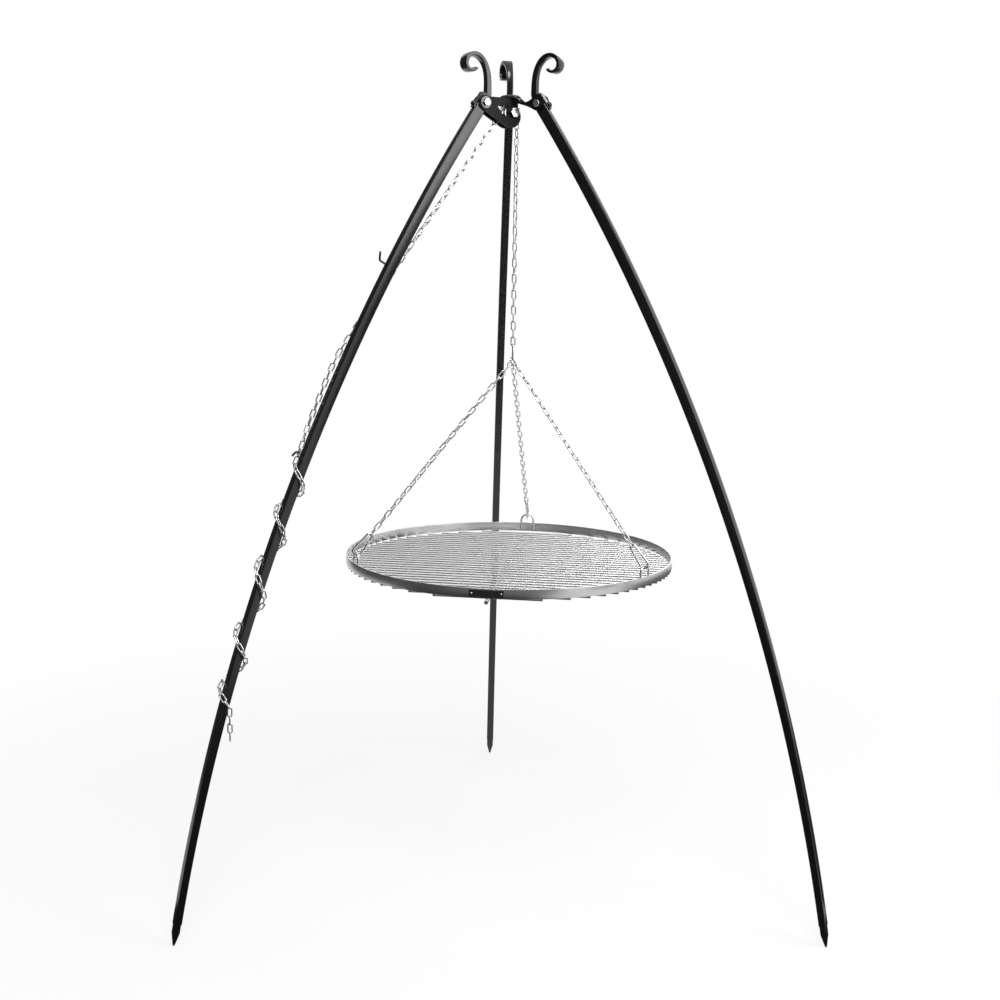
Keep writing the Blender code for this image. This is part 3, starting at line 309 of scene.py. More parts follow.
def piece(name, shape, material, nodes, matrix=Matrix(), smooth_angle=35):
    """A bmesh becomes a piece that rides on the body of the first node that it stands for."""
    bmesh.ops.remove_doubles(shape, verts=shape.verts, dist=MERGE_DISTANCE)
    bmesh.ops.recalc_face_normals(shape, faces=shape.faces)
    mesh = bpy.data.meshes.new(name)
    shape.to_mesh(mesh)
    shape.free()
    mesh.transform(matrix)
    item = bpy.data.objects.new(name, mesh)
    bpy.context.scene.collection.objects.link(item)
    settle(item, material, nodes, smooth_angle)
    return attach(item, BODY_OF[nodes[0]])


# %% [markdown]
# Tubes, rods and turned parts are all rows of rings with faces between them. A curve with a bevel could
# make the rods, but its section only grows and shrinks as a whole. So one function joins rings, and the
# others say where the rings lie.

# %% Shapes from rings


def skin(rings, looped=False):
    """A surface over rings with equal numbers of points; its ends are capped unless it is a loop."""
    shape = bmesh.new()
    rows = [[shape.verts.new(point) for point in ring] for ring in rings]
    pairs = list(zip(rows, rows[1:]))
    if looped:
        pairs.append((rows[-1], rows[0]))
    else:
        shape.faces.new(rows[0])
        shape.faces.new(rows[-1])
    for a, b in pairs:
        for i in range(len(a)):
            j = (i + 1) % len(a)
            shape.faces.new((a[i], a[j], b[j], b[i]))
    return shape


def rounded_section(half_a, half_b, corner, steps=3):
    """Points round a rectangle with round corners."""
    points = []
    for sign_a, sign_b, start in ((1, 1, 0), (-1, 1, 90), (-1, -1, 180), (1, -1, 270)):
        for i in range(steps + 1):
            turn = math.radians(start + 90 * i / steps)
            points.append((sign_a * (half_a - corner) + corner * math.cos(turn),
                           sign_b * (half_b - corner) + corner * math.sin(turn)))
    return points


def rod(points, radius, sides=14, shares=None):
    """A round rod along points: each ring is square to the path and carried on from the last."""
    points = [Vector(point) for point in points]
    count = len(points)
    rings = []
    across = None
    for i, point in enumerate(points):
        before = points[i - 1] if i else point
        after = points[i + 1] if i < count - 1 else point
        along = (after - before).normalized()
        if across is None:
            across = along.orthogonal().normalized()
        across = (across - along * across.dot(along)).normalized()
        beside = along.cross(across)
        size = radius * (shares[i] if shares else 1)
        turns = [2 * math.pi * k / sides for k in range(sides)]
        rings.append([point + across * size * math.cos(t) + beside * size * math.sin(t) for t in turns])
    return skin(rings)


def turned(profile, steps=40):
    """A closed profile of (radius, height) points turned round Z."""
    rings = []
    for k in range(steps):
        turn = 2 * math.pi * k / steps
        rings.append([Vector((r * math.cos(turn), r * math.sin(turn), z)) for r, z in profile])
    return skin(rings, looped=True)


def arc(centre, radius, start, end, count):
    """Points on an arc, angles in degrees, both ends included."""
    turns = [math.radians(start + (end - start) * i / count) for i in range(count + 1)]
    return [(centre[0] + radius * math.cos(t), centre[1] + radius * math.sin(t)) for t in turns]


# %% [markdown]
# Plates, bolts, nuts and points keep the shape of the model. A copy of each is merged into whole faces,
# and its edges are rounded a little, because no real edge is perfectly sharp and a round one catches light.

# %% Rounding the edges of a copied node
NODE_MERGE_DISTANCE = 0.00001
FLAT_ANGLE = math.radians(0.5)
EDGE_SEGMENTS = 2


def edged(node, material, edge, angle=30):
    """A piece with the shape of a node; edges sharper than the angle in degrees are rounded."""
    shape = bmesh.new()
    shape.from_mesh(frame["nodes"][node].data)
    bmesh.ops.remove_doubles(shape, verts=shape.verts, dist=NODE_MERGE_DISTANCE)
    bmesh.ops.dissolve_limit(shape, angle_limit=FLAT_ANGLE, verts=shape.verts, edges=shape.edges)
    item = piece(node + "_edged", shape, material, [node], smooth_angle=angle)
    rounding = item.modifiers.new("edge", "BEVEL")
    rounding.width = edge
    rounding.segments = EDGE_SEGMENTS
    rounding.limit_method = "ANGLE"
    rounding.angle_limit = math.radians(angle)
    rounding.harden_normals = True
    bpy.context.view_layer.update()
    graph = bpy.context.evaluated_depsgraph_get()
    rounded = bpy.data.meshes.new_from_object(item.evaluated_get(graph))
    item.modifiers.remove(rounding)
    item.data = rounded
    return item


# %% [markdown]
# ## Legs
# Each leg is a straight rectangular tube bent on a long arc, deeper at the top than at the foot.
# A Simple Deform modifier could bend it too. Here Geometry Nodes do, by the rule that also places the
# chain and the hooks on the leg: a straight bar goes in, its height being the share of the way down, and
# Set Position puts each point on the arc.

# %% The arc of a leg
TUBE_END_RADIUS = 0.740
TUBE_END_HEIGHT = 0.044
LEG_BOW = 0.093
LEG_WIDTH = 0.0172
LEG_DEPTH_TOP = 0.0242
LEG_DEPTH_END = 0.0150
LEG_CORNER = 0.0028
LEG_CORNER_STEPS = 5
LEG_WALL = 0.0012
LEG_INNER_CORNER = LEG_CORNER - LEG_WALL * 0.8
LEG_ABOVE_PIVOT = 0.016
LEG_STATIONS = 96
GAP = 0.0003


def leg_arc():
    """Centre, radius, outward and downward directions and half angle of the leg's centreline."""
    end = Vector((TUBE_END_RADIUS - PIVOT_RADIUS, 0, TUBE_END_HEIGHT - PIVOT_HEIGHT))
    chord = end.length
    along = end.normalized()
    outward = Vector((-along.z, 0, along.x))
    radius = (chord ** 2 / 4 + LEG_BOW ** 2) / (2 * LEG_BOW)
    return end / 2 + outward * (LEG_BOW - radius), radius, outward, along, math.asin(chord / 2 / radius)


ARC_CENTRE, ARC_RADIUS, ARC_OUT, ARC_ALONG, ARC_HALF = leg_arc()
LEG_LENGTH = 2 * ARC_HALF * ARC_RADIUS


def leg_frame(down):
    """Centre, downward and outward directions of the leg, a distance down from its pivot."""
    turn = down / ARC_RADIUS - ARC_HALF
    outward = ARC_OUT * math.cos(turn) + ARC_ALONG * math.sin(turn)
    along = ARC_ALONG * math.cos(turn) - ARC_OUT * math.sin(turn)
    return ARC_CENTRE + outward * ARC_RADIUS, along, outward


def leg_depth(down):
    return LEG_DEPTH_TOP + (LEG_DEPTH_END - LEG_DEPTH_TOP) * down / LEG_LENGTH


def leg_place(down, out, side):
    """A point by its distance down the leg, outward from its centreline and to its side."""
    centre, _, outward = leg_frame(down)
    return centre + outward * out + Vector((0, side, 0))


print("leg length", round(LEG_LENGTH, 3), "arc radius", round(ARC_RADIUS, 3))

# %% A tree's frame, and running a tree on a mesh


def start_tree(name, sizes):
    """A Geometry Nodes tree with geometry in and out and named inputs."""
    tree = bpy.data.node_groups.new(name, "GeometryNodeTree")
    tree.interface.new_socket("Geometry", in_out="INPUT", socket_type="NodeSocketGeometry")
    for label, kind in sizes.items():
        tree.interface.new_socket(label, in_out="INPUT", socket_type="NodeSocket" + kind)
    tree.interface.new_socket("Material", in_out="INPUT", socket_type="NodeSocketMaterial")
    tree.interface.new_socket("Geometry", in_out="OUTPUT", socket_type="NodeSocketGeometry")
    source = tree.nodes.new("NodeGroupInput")
    return tree, {socket.name: Flow(tree, socket) for socket in source.outputs if socket.name}


def end_tree(tree, given, geometry):
    """Every tree ends alike: real geometry, with its material."""
    real = add_node(tree, "GeometryNodeRealizeInstances", values={"Geometry": geometry})
    coated = add_node(tree, "GeometryNodeSetMaterial", values={
        "Geometry": real, "Material": given["Material"]})
    feed(tree, tree.nodes.new("NodeGroupOutput").inputs[0], coated)


def grown(tree, name, seed, values, matrix=Matrix()):
    """Run a tree on a mesh; the result is a plain mesh object at the origin."""
    item = bpy.data.objects.new(name, seed)
    bpy.context.scene.collection.objects.link(item)
    modifier = item.modifiers.new(tree.name, "NODES")
    modifier.node_group = tree
    for socket in tree.interface.items_tree:
        if socket.in_out == "INPUT" and socket.name in values:
            modifier[socket.identifier] = values[socket.name]
    bpy.context.view_layer.update()
    graph = bpy.context.evaluated_depsgraph_get()
    mesh = bpy.data.meshes.new_from_object(item.evaluated_get(graph))
    item.modifiers.remove(modifier)
    mesh.transform(matrix)
    item.data = mesh
    return item


# %% The tree that bends a straight bar into a leg


def bend_tree():
    tree, given = start_tree("bowed_leg", {
        "Length": "Float", "Above pivot": "Float", "Arc radius": "Float", "Half angle": "Float",
        "Foot depth share": "Float", "Arc centre": "Vector", "Outward": "Vector", "Along": "Vector"})
    place = add_node(tree, "GeometryNodeInputPosition")
    parts = [add_node(tree, "ShaderNodeSeparateXYZ", values={0: place}, out=i) for i in range(3)]
    down = parts[2] * (given["Length"] + given["Above pivot"]) - given["Above pivot"]
    turn = down / given["Arc radius"] - given["Half angle"]
    depth = 1 + (given["Foot depth share"] - 1) * (down / given["Length"])
    outward = given["Outward"] * turn.function("COSINE") + given["Along"] * turn.function("SINE")
    side = add_node(tree, "ShaderNodeCombineXYZ", values={"Y": parts[1]})
    bent = given["Arc centre"] + outward * (given["Arc radius"] + parts[0] * depth) + side
    moved = add_node(tree, "GeometryNodeSetPosition", values={
        "Geometry": given["Geometry"], "Position": bent})
    end_tree(tree, given, moved)
    return tree


BEND_LEG = bend_tree()
BEND_VALUES = {
    "Length": LEG_LENGTH, "Above pivot": LEG_ABOVE_PIVOT, "Arc radius": ARC_RADIUS, "Half angle": ARC_HALF,
    "Foot depth share": LEG_DEPTH_END / LEG_DEPTH_TOP, "Arc centre": ARC_CENTRE, "Outward": ARC_OUT,
    "Along": ARC_ALONG, "Material": BLACK}

# %% Bars to bend, open at the top as the real tube is


def straight_bar():
    outer = rounded_section(LEG_DEPTH_TOP / 2, LEG_WIDTH / 2, LEG_CORNER, LEG_CORNER_STEPS)
    inner = rounded_section(LEG_DEPTH_TOP / 2 - LEG_WALL, LEG_WIDTH / 2 - LEG_WALL,
                            LEG_INNER_CORNER, LEG_CORNER_STEPS)
    heights = [i / LEG_STATIONS for i in range(LEG_STATIONS + 1)]
    rings = [[Vector((x, y, z)) for x, y in outer] for z in heights]
    rings += [[Vector((x, y, z)) for x, y in inner] for z in reversed(heights)]
    shape = skin(rings, looped=True)
    bmesh.ops.recalc_face_normals(shape, faces=shape.faces)
    mesh = bpy.data.meshes.new("straight_bar")
    shape.to_mesh(mesh)
    shape.free()
    return mesh


for side in LEG_AZIMUTHS:
    leg = grown(BEND_LEG, side + "_leg_tube", straight_bar(), BEND_VALUES, LEG_FRAMES[side])
    settle(leg, BLACK, [side + "_leg"])
    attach(leg, side + "_leg")
print("legs", len(leg.data.vertices), "points each")

# %% [markdown]
# ## Scrolls
# The top of each leg carries a square bar that is drawn out flat and wide and rolled outward. It turns
# faster and faster towards its end. A bevelled curve would keep one section, so the bar is a row of
# rounded rectangles along its path. The back one is wrung round its stem, so its curl points aside.

# %% Scrolls
SCROLL_BAR = 0.013
SCROLL_THICK = 0.0135
SCROLL_END_THICK = 0.005
SCROLL_END_WIDTH = 0.025
SCROLL_LENGTH = 0.155
SCROLL_TURN = math.radians(330)
SCROLL_POWER = 2.4
SCROLL_KNEE = 0.012
SCROLL_STEPS = 120
SCROLL_TWISTS = {"left": 0, "right": 0, "back": 9}
SCROLL_CORNER_PART = 0.16
STEM_PART = 0.25
FLARE_START = 0.3
FLARE_LENGTH = 0.45
KNEE_STEPS = 8
SHOULDER_PART = 0.98
PLUG_LENGTH = 0.009


def scroll_ring(point, heading, thick, width):
    outward = Vector((math.sin(heading), 0, -math.cos(heading)))
    section = rounded_section(thick / 2, width / 2, min(thick, width) * SCROLL_CORNER_PART)
    return [point + outward * a + Vector((0, b, 0)) for a, b in section]


def wrung(rings, axis, degrees):
    """Turn rings about an upright axis, more from ring to ring until the stem's end."""
    turned_rings = []
    for i, points in enumerate(rings):
        share = min(1.0, i / SCROLL_STEPS / STEM_PART)
        turn = Matrix.Rotation(math.radians(degrees) * share, 3, "Z")
        turned_rings.append([axis + turn @ (point - axis) for point in points])
    return turned_rings


def scroll_rings(twist):
    top, along, _ = leg_frame(-LEG_ABOVE_PIVOT)
    start = math.atan2(-along.z, -along.x)
    plug_depth = leg_depth(0) - 2 * (LEG_WALL + GAP)
    point = top - along * GAP
    heading = start
    rings = [
        scroll_ring(top + along * PLUG_LENGTH, start, plug_depth, SCROLL_BAR),
        scroll_ring(point, start, plug_depth, SCROLL_BAR),
        scroll_ring(point, start, SCROLL_THICK, SCROLL_BAR * SHOULDER_PART),
    ]
    turn = start - math.pi / 2
    for i in range(KNEE_STEPS):
        heading -= turn / KNEE_STEPS / 2
        ahead = Vector((math.cos(heading), 0, math.sin(heading)))
        point = point + ahead * SCROLL_KNEE * turn / KNEE_STEPS
        heading -= turn / KNEE_STEPS / 2
        rings.append(scroll_ring(point, heading, SCROLL_THICK, SCROLL_BAR))
    stem, knee_end = len(rings), point
    step = SCROLL_LENGTH / SCROLL_STEPS
    for i in range(SCROLL_STEPS):
        end = (i + 1) / SCROLL_STEPS
        heading = math.pi / 2 - SCROLL_TURN * ((i + 0.5) / SCROLL_STEPS) ** SCROLL_POWER
        point = point + Vector((math.cos(heading), 0, math.sin(heading))) * step
        heading = math.pi / 2 - SCROLL_TURN * end ** SCROLL_POWER
        flare = max(0.0, min(1.0, (end - FLARE_START) / FLARE_LENGTH))
        flare = flare * flare * (3 - 2 * flare)
        thick = SCROLL_THICK + (SCROLL_END_THICK - SCROLL_THICK) * end
        width = SCROLL_BAR + (SCROLL_END_WIDTH - SCROLL_BAR) * flare
        rings.append(scroll_ring(point, heading, thick, width))
    return rings[:stem] + wrung(rings[stem:], knee_end, twist)


for side in LEG_AZIMUTHS:
    bar = skin(scroll_rings(SCROLL_TWISTS[side]))
    piece(side + "_rolled_scroll", bar, BLACK, [side + "_scroll"], LEG_FRAMES[side])
print("scrolls of", SCROLL_STEPS, "steps, turned", round(math.degrees(SCROLL_TURN)), "degrees")

# %% [markdown]
# ## Points, cap plates and screws
# A forged point closes each foot. On the outer face of each leg, by the pivot, a small plate is held by a
# domed screw. Points and plates are flat-sided, so they come from the model with rounded edges. The screw
# is round: a profile turned about its axis is smoother than any bevel.

# %% Feet and caps
CAP_THICK = 0.003
CAP_SCREW_DOWN = 0.014
CAP_SCREW_RADIUS = 0.0062
CAP_SCREW_HEIGHT = 0.0062
CAP_SHANK_RADIUS = 0.0024
CAP_SHANK_PAST_WALL = 0.002
DOME_STEPS = 10


def outer_face(down, lift):
    """A frame on the leg's outer face: X down the leg, Z outward."""
    centre, along, outward = leg_frame(down)
    place = centre + outward * (leg_depth(down) / 2 + lift)
    return Matrix.Translation(place) @ Matrix((along, outward.cross(along), outward)).transposed().to_4x4()


def domed_screw():
    shank = 2 * GAP + CAP_THICK + LEG_WALL + CAP_SHANK_PAST_WALL
    turns = [math.pi / 2 * i / DOME_STEPS for i in range(DOME_STEPS + 1)]
    dome = [(CAP_SCREW_RADIUS * math.sin(t), CAP_SCREW_HEIGHT * math.cos(t)) for t in turns]
    return turned(dome + [(CAP_SHANK_RADIUS, 0), (CAP_SHANK_RADIUS, -shank), (0, -shank)])


for side in LEG_AZIMUTHS:
    edged(side + "_spike", BLACK, 0.0004)
    edged(side + "_cap_plate", BLACK, 0.0003)
    place = LEG_FRAMES[side] @ outer_face(CAP_SCREW_DOWN, 2 * GAP + CAP_THICK)
    piece(side + "_domed_screw", domed_screw(), BLACK, [side + "_cap_screw"], place)
print("caps and points on", len(LEG_AZIMUTHS), "legs")

# %% [markdown]
# ## Hub
# Flat plates on edge carry the pivots: two deep cheeks for the left leg, with the roller between them, and
# a fork of two thin straps for each of the others. Zinc bolts hold the legs, and a thick one is the axle.
# The plates' outlines are exact in the model, so only their edges are rounded. The core and the roller
# are turned from profiles.

# %% Plates, bolts and nuts
# Washers take the rougher zinc whose darker colour is painted shade.
for node in BODIES["hub"]:
    if "cheek" in node or "strap" in node:
        edged(node, HUB_BLACK, 0.0005)
    elif node.endswith(("_bolt", "_nut", "_washer")):
        edged(node, DULL_ZINC_PAINTED_SHADE if node.endswith("_washer") else ZINC, 0.0003)
print("hub of", len(BODIES["hub"]), "nodes")

# %% The domed core and the roller
ARM_TOP = 0.012
CORE_RADIUS = 0.022
CORE_HEIGHT = 0.007
ROLLER_DROP = 0.016
ROLLER_PITCH_RADIUS = 0.0165
ROLLER_FLANGE = 0.0185
AXLE_RADIUS = 0.006
STRAP_IN = LEG_WIDTH / 2 + GAP
CHAIN_PITCH = 0.0165
LINK_WIDTH = 0.011
WIRE = 0.003
CORE_EDGE = 0.0004
TURNED_EDGE = 0.0003
ROLLER_SIDE_ROOM = 0.0001
FLANGE_THICK = 0.0015
GROOVE_ROOM = 0.0006
TURNING_STEPS = 72


def domed_core():
    """A low dome, from its top outward: radii in metres and shares of its height."""
    dome = [(0, 1), (0.008, 0.99), (0.012, 0.97), (0.016, 0.89), (0.019, 0.76), (0.0208, 0.58),
            (CORE_RADIUS, 0.36)]
    top = [(radius, CORE_HEIGHT * share) for radius, share in dome]
    foot = [(CORE_RADIUS, CORE_EDGE), (CORE_RADIUS - CORE_EDGE, 0), (0, 0)]
    return turned(top + foot, TURNING_STEPS)


def spool():
    """Shoulders for the links that lie flat, a groove for the ones on edge."""
    middle = math.sqrt(ROLLER_PITCH_RADIUS ** 2 - (CHAIN_PITCH / 2) ** 2)
    shoulder = middle - WIRE / 2 - GAP
    groove = middle - LINK_WIDTH / 2 - GAP
    bore = AXLE_RADIUS + GAP
    half = STRAP_IN - GAP - ROLLER_SIDE_ROOM
    groove_half = WIRE / 2 + GROOVE_ROOM
    inner = half - FLANGE_THICK
    one_side = [
        (bore, half), (ROLLER_FLANGE - TURNED_EDGE, half), (ROLLER_FLANGE, half - TURNED_EDGE),
        (ROLLER_FLANGE, inner), (shoulder, inner - TURNED_EDGE), (shoulder, groove_half),
        (groove, groove_half - TURNED_EDGE)]
    return turned(one_side + [(r, -z) for r, z in reversed(one_side)], TURNING_STEPS)


AT_AXLE = HUB_FRAMES["left"] @ Matrix.Translation((0, 0, -ROLLER_DROP))
piece("domed_hub_core", domed_core(), BLACK, ["hub_core"],
      HUB_FRAMES["left"] @ Matrix.Translation((0, 0, ARM_TOP + GAP)))
piece("grooved_roller", spool(), ZINC, ["chain_roller"],
      AT_AXLE @ Matrix.Rotation(math.radians(-90), 4, "X"))
print("roller flanges", ROLLER_FLANGE * 2000, "mm wide")

# %% [markdown]
# ## Chain
# The chain is welded link chain: long oval rings of three millimetre wire, each a quarter turn from the
# next. Copies of one link would have to be placed one by one. Here a Geometry Nodes tree makes the ring
# from a filleted rectangle and a round profile, and sets one on each point of a small mesh. Two
# attributes on the points tell which way a link runs and lies.

# %% The tree that sets links on points
FILLET_PART = 0.495
FILLET_POINTS = 7
WIRE_SIDES = 10


def link_tree():
    tree, given = start_tree("links_on_points", {
        "Pitch": "Float", "Link width": "Float", "Wire": "Float", "Fillet points": "Int",
        "Wire sides": "Int"})
    frame_line = add_node(tree, "GeometryNodeCurvePrimitiveQuadrilateral", values={
        "Width": given["Link width"] - given["Wire"], "Height": given["Pitch"] + given["Wire"] - GAP})
    oval = add_node(tree, "GeometryNodeFilletCurve", {"mode": "POLY"}, {
        "Curve": frame_line, "Count": given["Fillet points"],
        "Radius": (given["Link width"] - given["Wire"]) * FILLET_PART})
    profile = add_node(tree, "GeometryNodeCurvePrimitiveCircle", values={
        "Resolution": given["Wire sides"], "Radius": given["Wire"] * 0.5})
    ring = add_node(tree, "GeometryNodeCurveToMesh", values={"Curve": oval, "Profile Curve": profile})
    upright = add_node(tree, "GeometryNodeTransform", values={
        "Geometry": ring, "Rotation": (math.radians(90), 0, 0)})
    smooth = add_node(tree, "GeometryNodeSetShadeSmooth", values={"Geometry": upright})
    runs, lies = (
        add_node(tree, "GeometryNodeInputNamedAttribute", {"data_type": "FLOAT_VECTOR"}, {"Name": name})
        for name in ("runs", "lies"))
    turn = add_node(tree, "FunctionNodeAxesToRotation", {"primary_axis": "Z", "secondary_axis": "X"},
                    {0: runs, 1: lies})
    links = add_node(tree, "GeometryNodeInstanceOnPoints", values={
        "Points": given["Geometry"], "Instance": smooth, "Rotation": turn})
    end_tree(tree, given, links)
    return tree


LINKS = link_tree()

# %% Where the links lie


def twisted(directions, first_wide, last_wide):
    """The wide direction of each link: a quarter turn from link to link, eased to meet the last one."""
    carried = [(first_wide - directions[0] * first_wide.dot(directions[0])).normalized()]
    for a, b in zip(directions, directions[1:]):
        carried.append(a.rotation_difference(b) @ carried[-1])
    last = len(directions) - 1
    ease = 0.0
    if last_wide is not None and last > 0:
        end = last_wide - directions[-1] * last_wide.dot(directions[-1])
        angle = math.atan2(directions[-1].dot(carried[-1].cross(end)), carried[-1].dot(end))
        ease = (angle - math.pi / 2 * last + math.pi / 2) % math.pi - math.pi / 2
    wides = []
    for i, (direction, base) in enumerate(zip(directions, carried)):
        turn = math.pi / 2 * i + ease * i / max(last, 1)
        wides.append(Matrix.Rotation(turn, 3, direction) @ base)
    return wides


def chain(name, joints, first_wide, nodes, last_wide=None, matrix=Matrix(), bends=None):
    """Links between joints as one piece.

    bends names two bodies and the ends of the stretch between them; if it is given, the piece is set on no body
    and stays where it is made, and the names and ends are not used.
    """
    directions = [(b - a).normalized() for a, b in zip(joints, joints[1:])]
    wides = twisted(directions, first_wide, last_wide)
    turn = matrix.to_3x3()
    seed = bpy.data.meshes.new(name + "_points")
    seed.from_pydata([matrix @ ((a + b) / 2) for a, b in zip(joints, joints[1:])], [], [])
    for label, arrows in (("runs", directions), ("lies", wides)):
        layer = seed.attributes.new(label, "FLOAT_VECTOR", "POINT")
        for slot, arrow in zip(layer.data, arrows):
            slot.vector = turn @ arrow
    pitch = sum((b - a).length for a, b in zip(joints, joints[1:])) / len(directions)
    item = grown(LINKS, name, seed, {
        "Pitch": pitch, "Link width": LINK_WIDTH, "Wire": WIRE, "Fillet points": FILLET_POINTS,
        "Wire sides": WIRE_SIDES, "Material": ZINC})
    settle(item, ZINC, nodes, smooth_angle=60)
    if bends:
        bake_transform(item)
    else:
        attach(item, BODY_OF[nodes[0]])
    print(name, len(directions), "links, pitch", round(pitch * 1000, 2), "mm")
    return wides


# %% Walking a route in steps of one pitch
STEP_ROUNDS = 30
PITCH_ROUNDS = 24
PITCH_RANGE = (0.95, 1.05)


def close_in(low, high, rounds, is_below):
    """Halve a range again and again round the value where a test turns false."""
    for _ in range(rounds):
        middle = (low + high) / 2
        if is_below(middle):
            low = middle
        else:
            high = middle
    return low, high


def walk(path, pitch, count):
    """Points along a dense path, each one pitch in a straight line from the last."""
    points = [path[0]]
    i = 0
    while len(points) <= count and i + 1 < len(path):
        if (path[i + 1] - points[-1]).length < pitch:
            i += 1
            continue
        a, b, base = path[i], path[i + 1], points[-1]
        _, share = close_in(0.0, 1.0, STEP_ROUNDS, lambda tried: (a.lerp(b, tried) - base).length < pitch)
        points.append(a.lerp(b, share))
    return points


def fitted_walk(path, pitch):
    """Joints from one end of a path to the other, at the pitch nearest to the wanted one that fits."""
    length = sum((b - a).length for a, b in zip(path, path[1:]))
    count = round(length / pitch)
    low, high = (pitch * part for part in PITCH_RANGE)
    fitted, _ = close_in(low, high, PITCH_ROUNDS, lambda tried: len(walk(path, tried, count)) > count)
    return walk(path, fitted, count)


def straight(start, end, step=0.001):
    count = max(1, int((end - start).length / step))
    return [start.lerp(end, i / count) for i in range(count + 1)]


# %% [markdown]
# The chain's route is the model's own: from behind the left leg up to the roller, over it and straight
# down to the centre hook. The part of it by the leg moves with the leg, so it is a piece of its own.
# Points at even distances along the curve would set the links on the roller too close. The route is
# walked in straight steps of one pitch instead, as a real chain lies.

# %% Chain over the roller
LEFT_OUT = Matrix.Rotation(math.radians(LEG_AZIMUTHS["left"]), 3, "Z") @ Vector((1, 0, 0))
LEFT_SIDE = Matrix.Rotation(math.radians(LEG_AZIMUTHS["left"]), 3, "Z") @ Vector((0, 1, 0))
PASS_START_DOWN = 0.430
PASS_END_DOWN = 0.580
CHAIN_STANDOFF = 0.0062
LOWER_HOOK_DOWN = 0.800
CENTRE_HOOK_TOP = 1.1685
CENTRE_HOOK_ROD = 0.0021
SWIVEL_LINKS = 6
OVER_POINTS = 90
HUB_LINKS_AT_MOST = 60
PLUMB_TOLERANCE = 0.0001


def in_left_plane(radius, side, height):
    return LEFT_OUT * radius + LEFT_SIDE * side + Vector((AXIS.x, AXIS.y, height))


ROLLER_HEIGHT = PIVOT_HEIGHT - ROLLER_DROP
side_off = LEG_WIDTH / 2 + CHAIN_STANDOFF
behind = leg_place(PASS_START_DOWN, -leg_depth(PASS_START_DOWN) / 2, -side_off)
reach = Vector((behind.x + PIVOT_RADIUS, behind.z + ROLLER_DROP))
leave = math.atan2(reach.y, reach.x) + math.acos(ROLLER_PITCH_RADIUS / reach.length)
leave_radius = ROLLER_PITCH_RADIUS * math.cos(leave)
leave_height = ROLLER_HEIGHT + ROLLER_PITCH_RADIUS * math.sin(leave)
run = Vector((behind.x + PIVOT_RADIUS - leave_radius, behind.z + PIVOT_HEIGHT - leave_height))
to_pivot = Vector((PIVOT_RADIUS - leave_radius, PIVOT_HEIGHT - leave_height))
split_run = to_pivot.dot(run.normalized())
share = split_run / run.length
split = Vector((leave_radius + run.x * share, -side_off * share, leave_height + run.y * share))

over = []
for i in range(OVER_POINTS):
    turn = leave + (math.pi - leave) * i / (OVER_POINTS - 1)
    height = ROLLER_HEIGHT + ROLLER_PITCH_RADIUS * math.sin(turn)
    over.append(in_left_plane(ROLLER_PITCH_RADIUS * math.cos(turn), 0, height))
strand_top = over[-1]
strand_foot = Vector((strand_top.x, strand_top.y, CENTRE_HOOK_TOP - CENTRE_HOOK_ROD * 2 - GAP))
path = straight(in_left_plane(*split), over[0]) + over[1:] + straight(strand_top, strand_foot)[1:]
hub_joints = walk(path, CHAIN_PITCH, HUB_LINKS_AT_MOST)
first_hanging = next(i for i, joint in enumerate(hub_joints)
                     if (joint - strand_top).xy.length < PLUMB_TOLERANCE and joint.z < ROLLER_HEIGHT)
roller_joints = hub_joints[:first_hanging + 2]
roller_wides = chain("chain_over_roller", roller_joints, LEFT_SIDE, ["roller_chain"])

# %% [markdown]
# Below the roller the chain hangs plumb. Its first two links swing freely. The six below them take up the
# twist, and the rest runs down to the centre hook. The model has no chain to pay out, and separate links
# would leave gaps where a chain stretched, so each of these two stretches is one piece. Neither is set on
# a body: both stay where they are made.

# %% Hanging chain
SWINGING_LINKS = 2
top_joint = roller_joints[-1]
hanging_count = round((top_joint.z - strand_foot.z) / CHAIN_PITCH)
hanging_pitch = (top_joint.z - strand_foot.z) / hanging_count
hanging = [top_joint - UP * hanging_pitch * i for i in range(hanging_count + 1)]
wide = UP.cross(roller_wides[-1]).normalized()
for i in range(SWINGING_LINKS):
    chain(f"swinging_link_{i + 1}", hanging[i:i + 2], wide, [f"top_link_{i + 1}"])
    wide = UP.cross(wide).normalized()
turns = twisted([-UP] * (hanging_count - SWINGING_LINKS), wide, Vector((1, 0, 0)))
middle = SWINGING_LINKS + SWIVEL_LINKS
chain("twisting_links", hanging[SWINGING_LINKS:middle + 1], turns[0], ["lift_chain"],
      turns[SWIVEL_LINKS - 1],
      bends=("link_2", "hanging_chain", hanging[SWINGING_LINKS], hanging[middle]))
chain("lengthening_links", hanging[middle:], turns[SWIVEL_LINKS], ["lift_chain"], turns[-1],
      bends=("hanging_chain", "grate", hanging[middle], hanging[-1]))

# %% [markdown]
# The other end passes behind the left leg, comes round its far corner and lies down its outer face to the
# lower hook. What is left is wound round the leg in a little over four turns, and its tail hangs free.
# The first stretch follows a few given points. The turns follow a rule: a loop winds them, closer
# in as the leg gets thinner.

# %% Chain on the leg
WRAP_TURNS_DOWN = [0.911, 1.024, 1.160, 1.275, 1.368]
WRAP_LAST_PART = 0.42
WRAP_CLEARANCE = 0.0072
WRAP_START_TURN = 1 / 8
WRAP_START_LINKS = 1.45
WRAP_EASE_TURNS = 0.15
WRAP_STEPS = 420
TAIL_LINKS = 4
TAIL_STEPS = 60

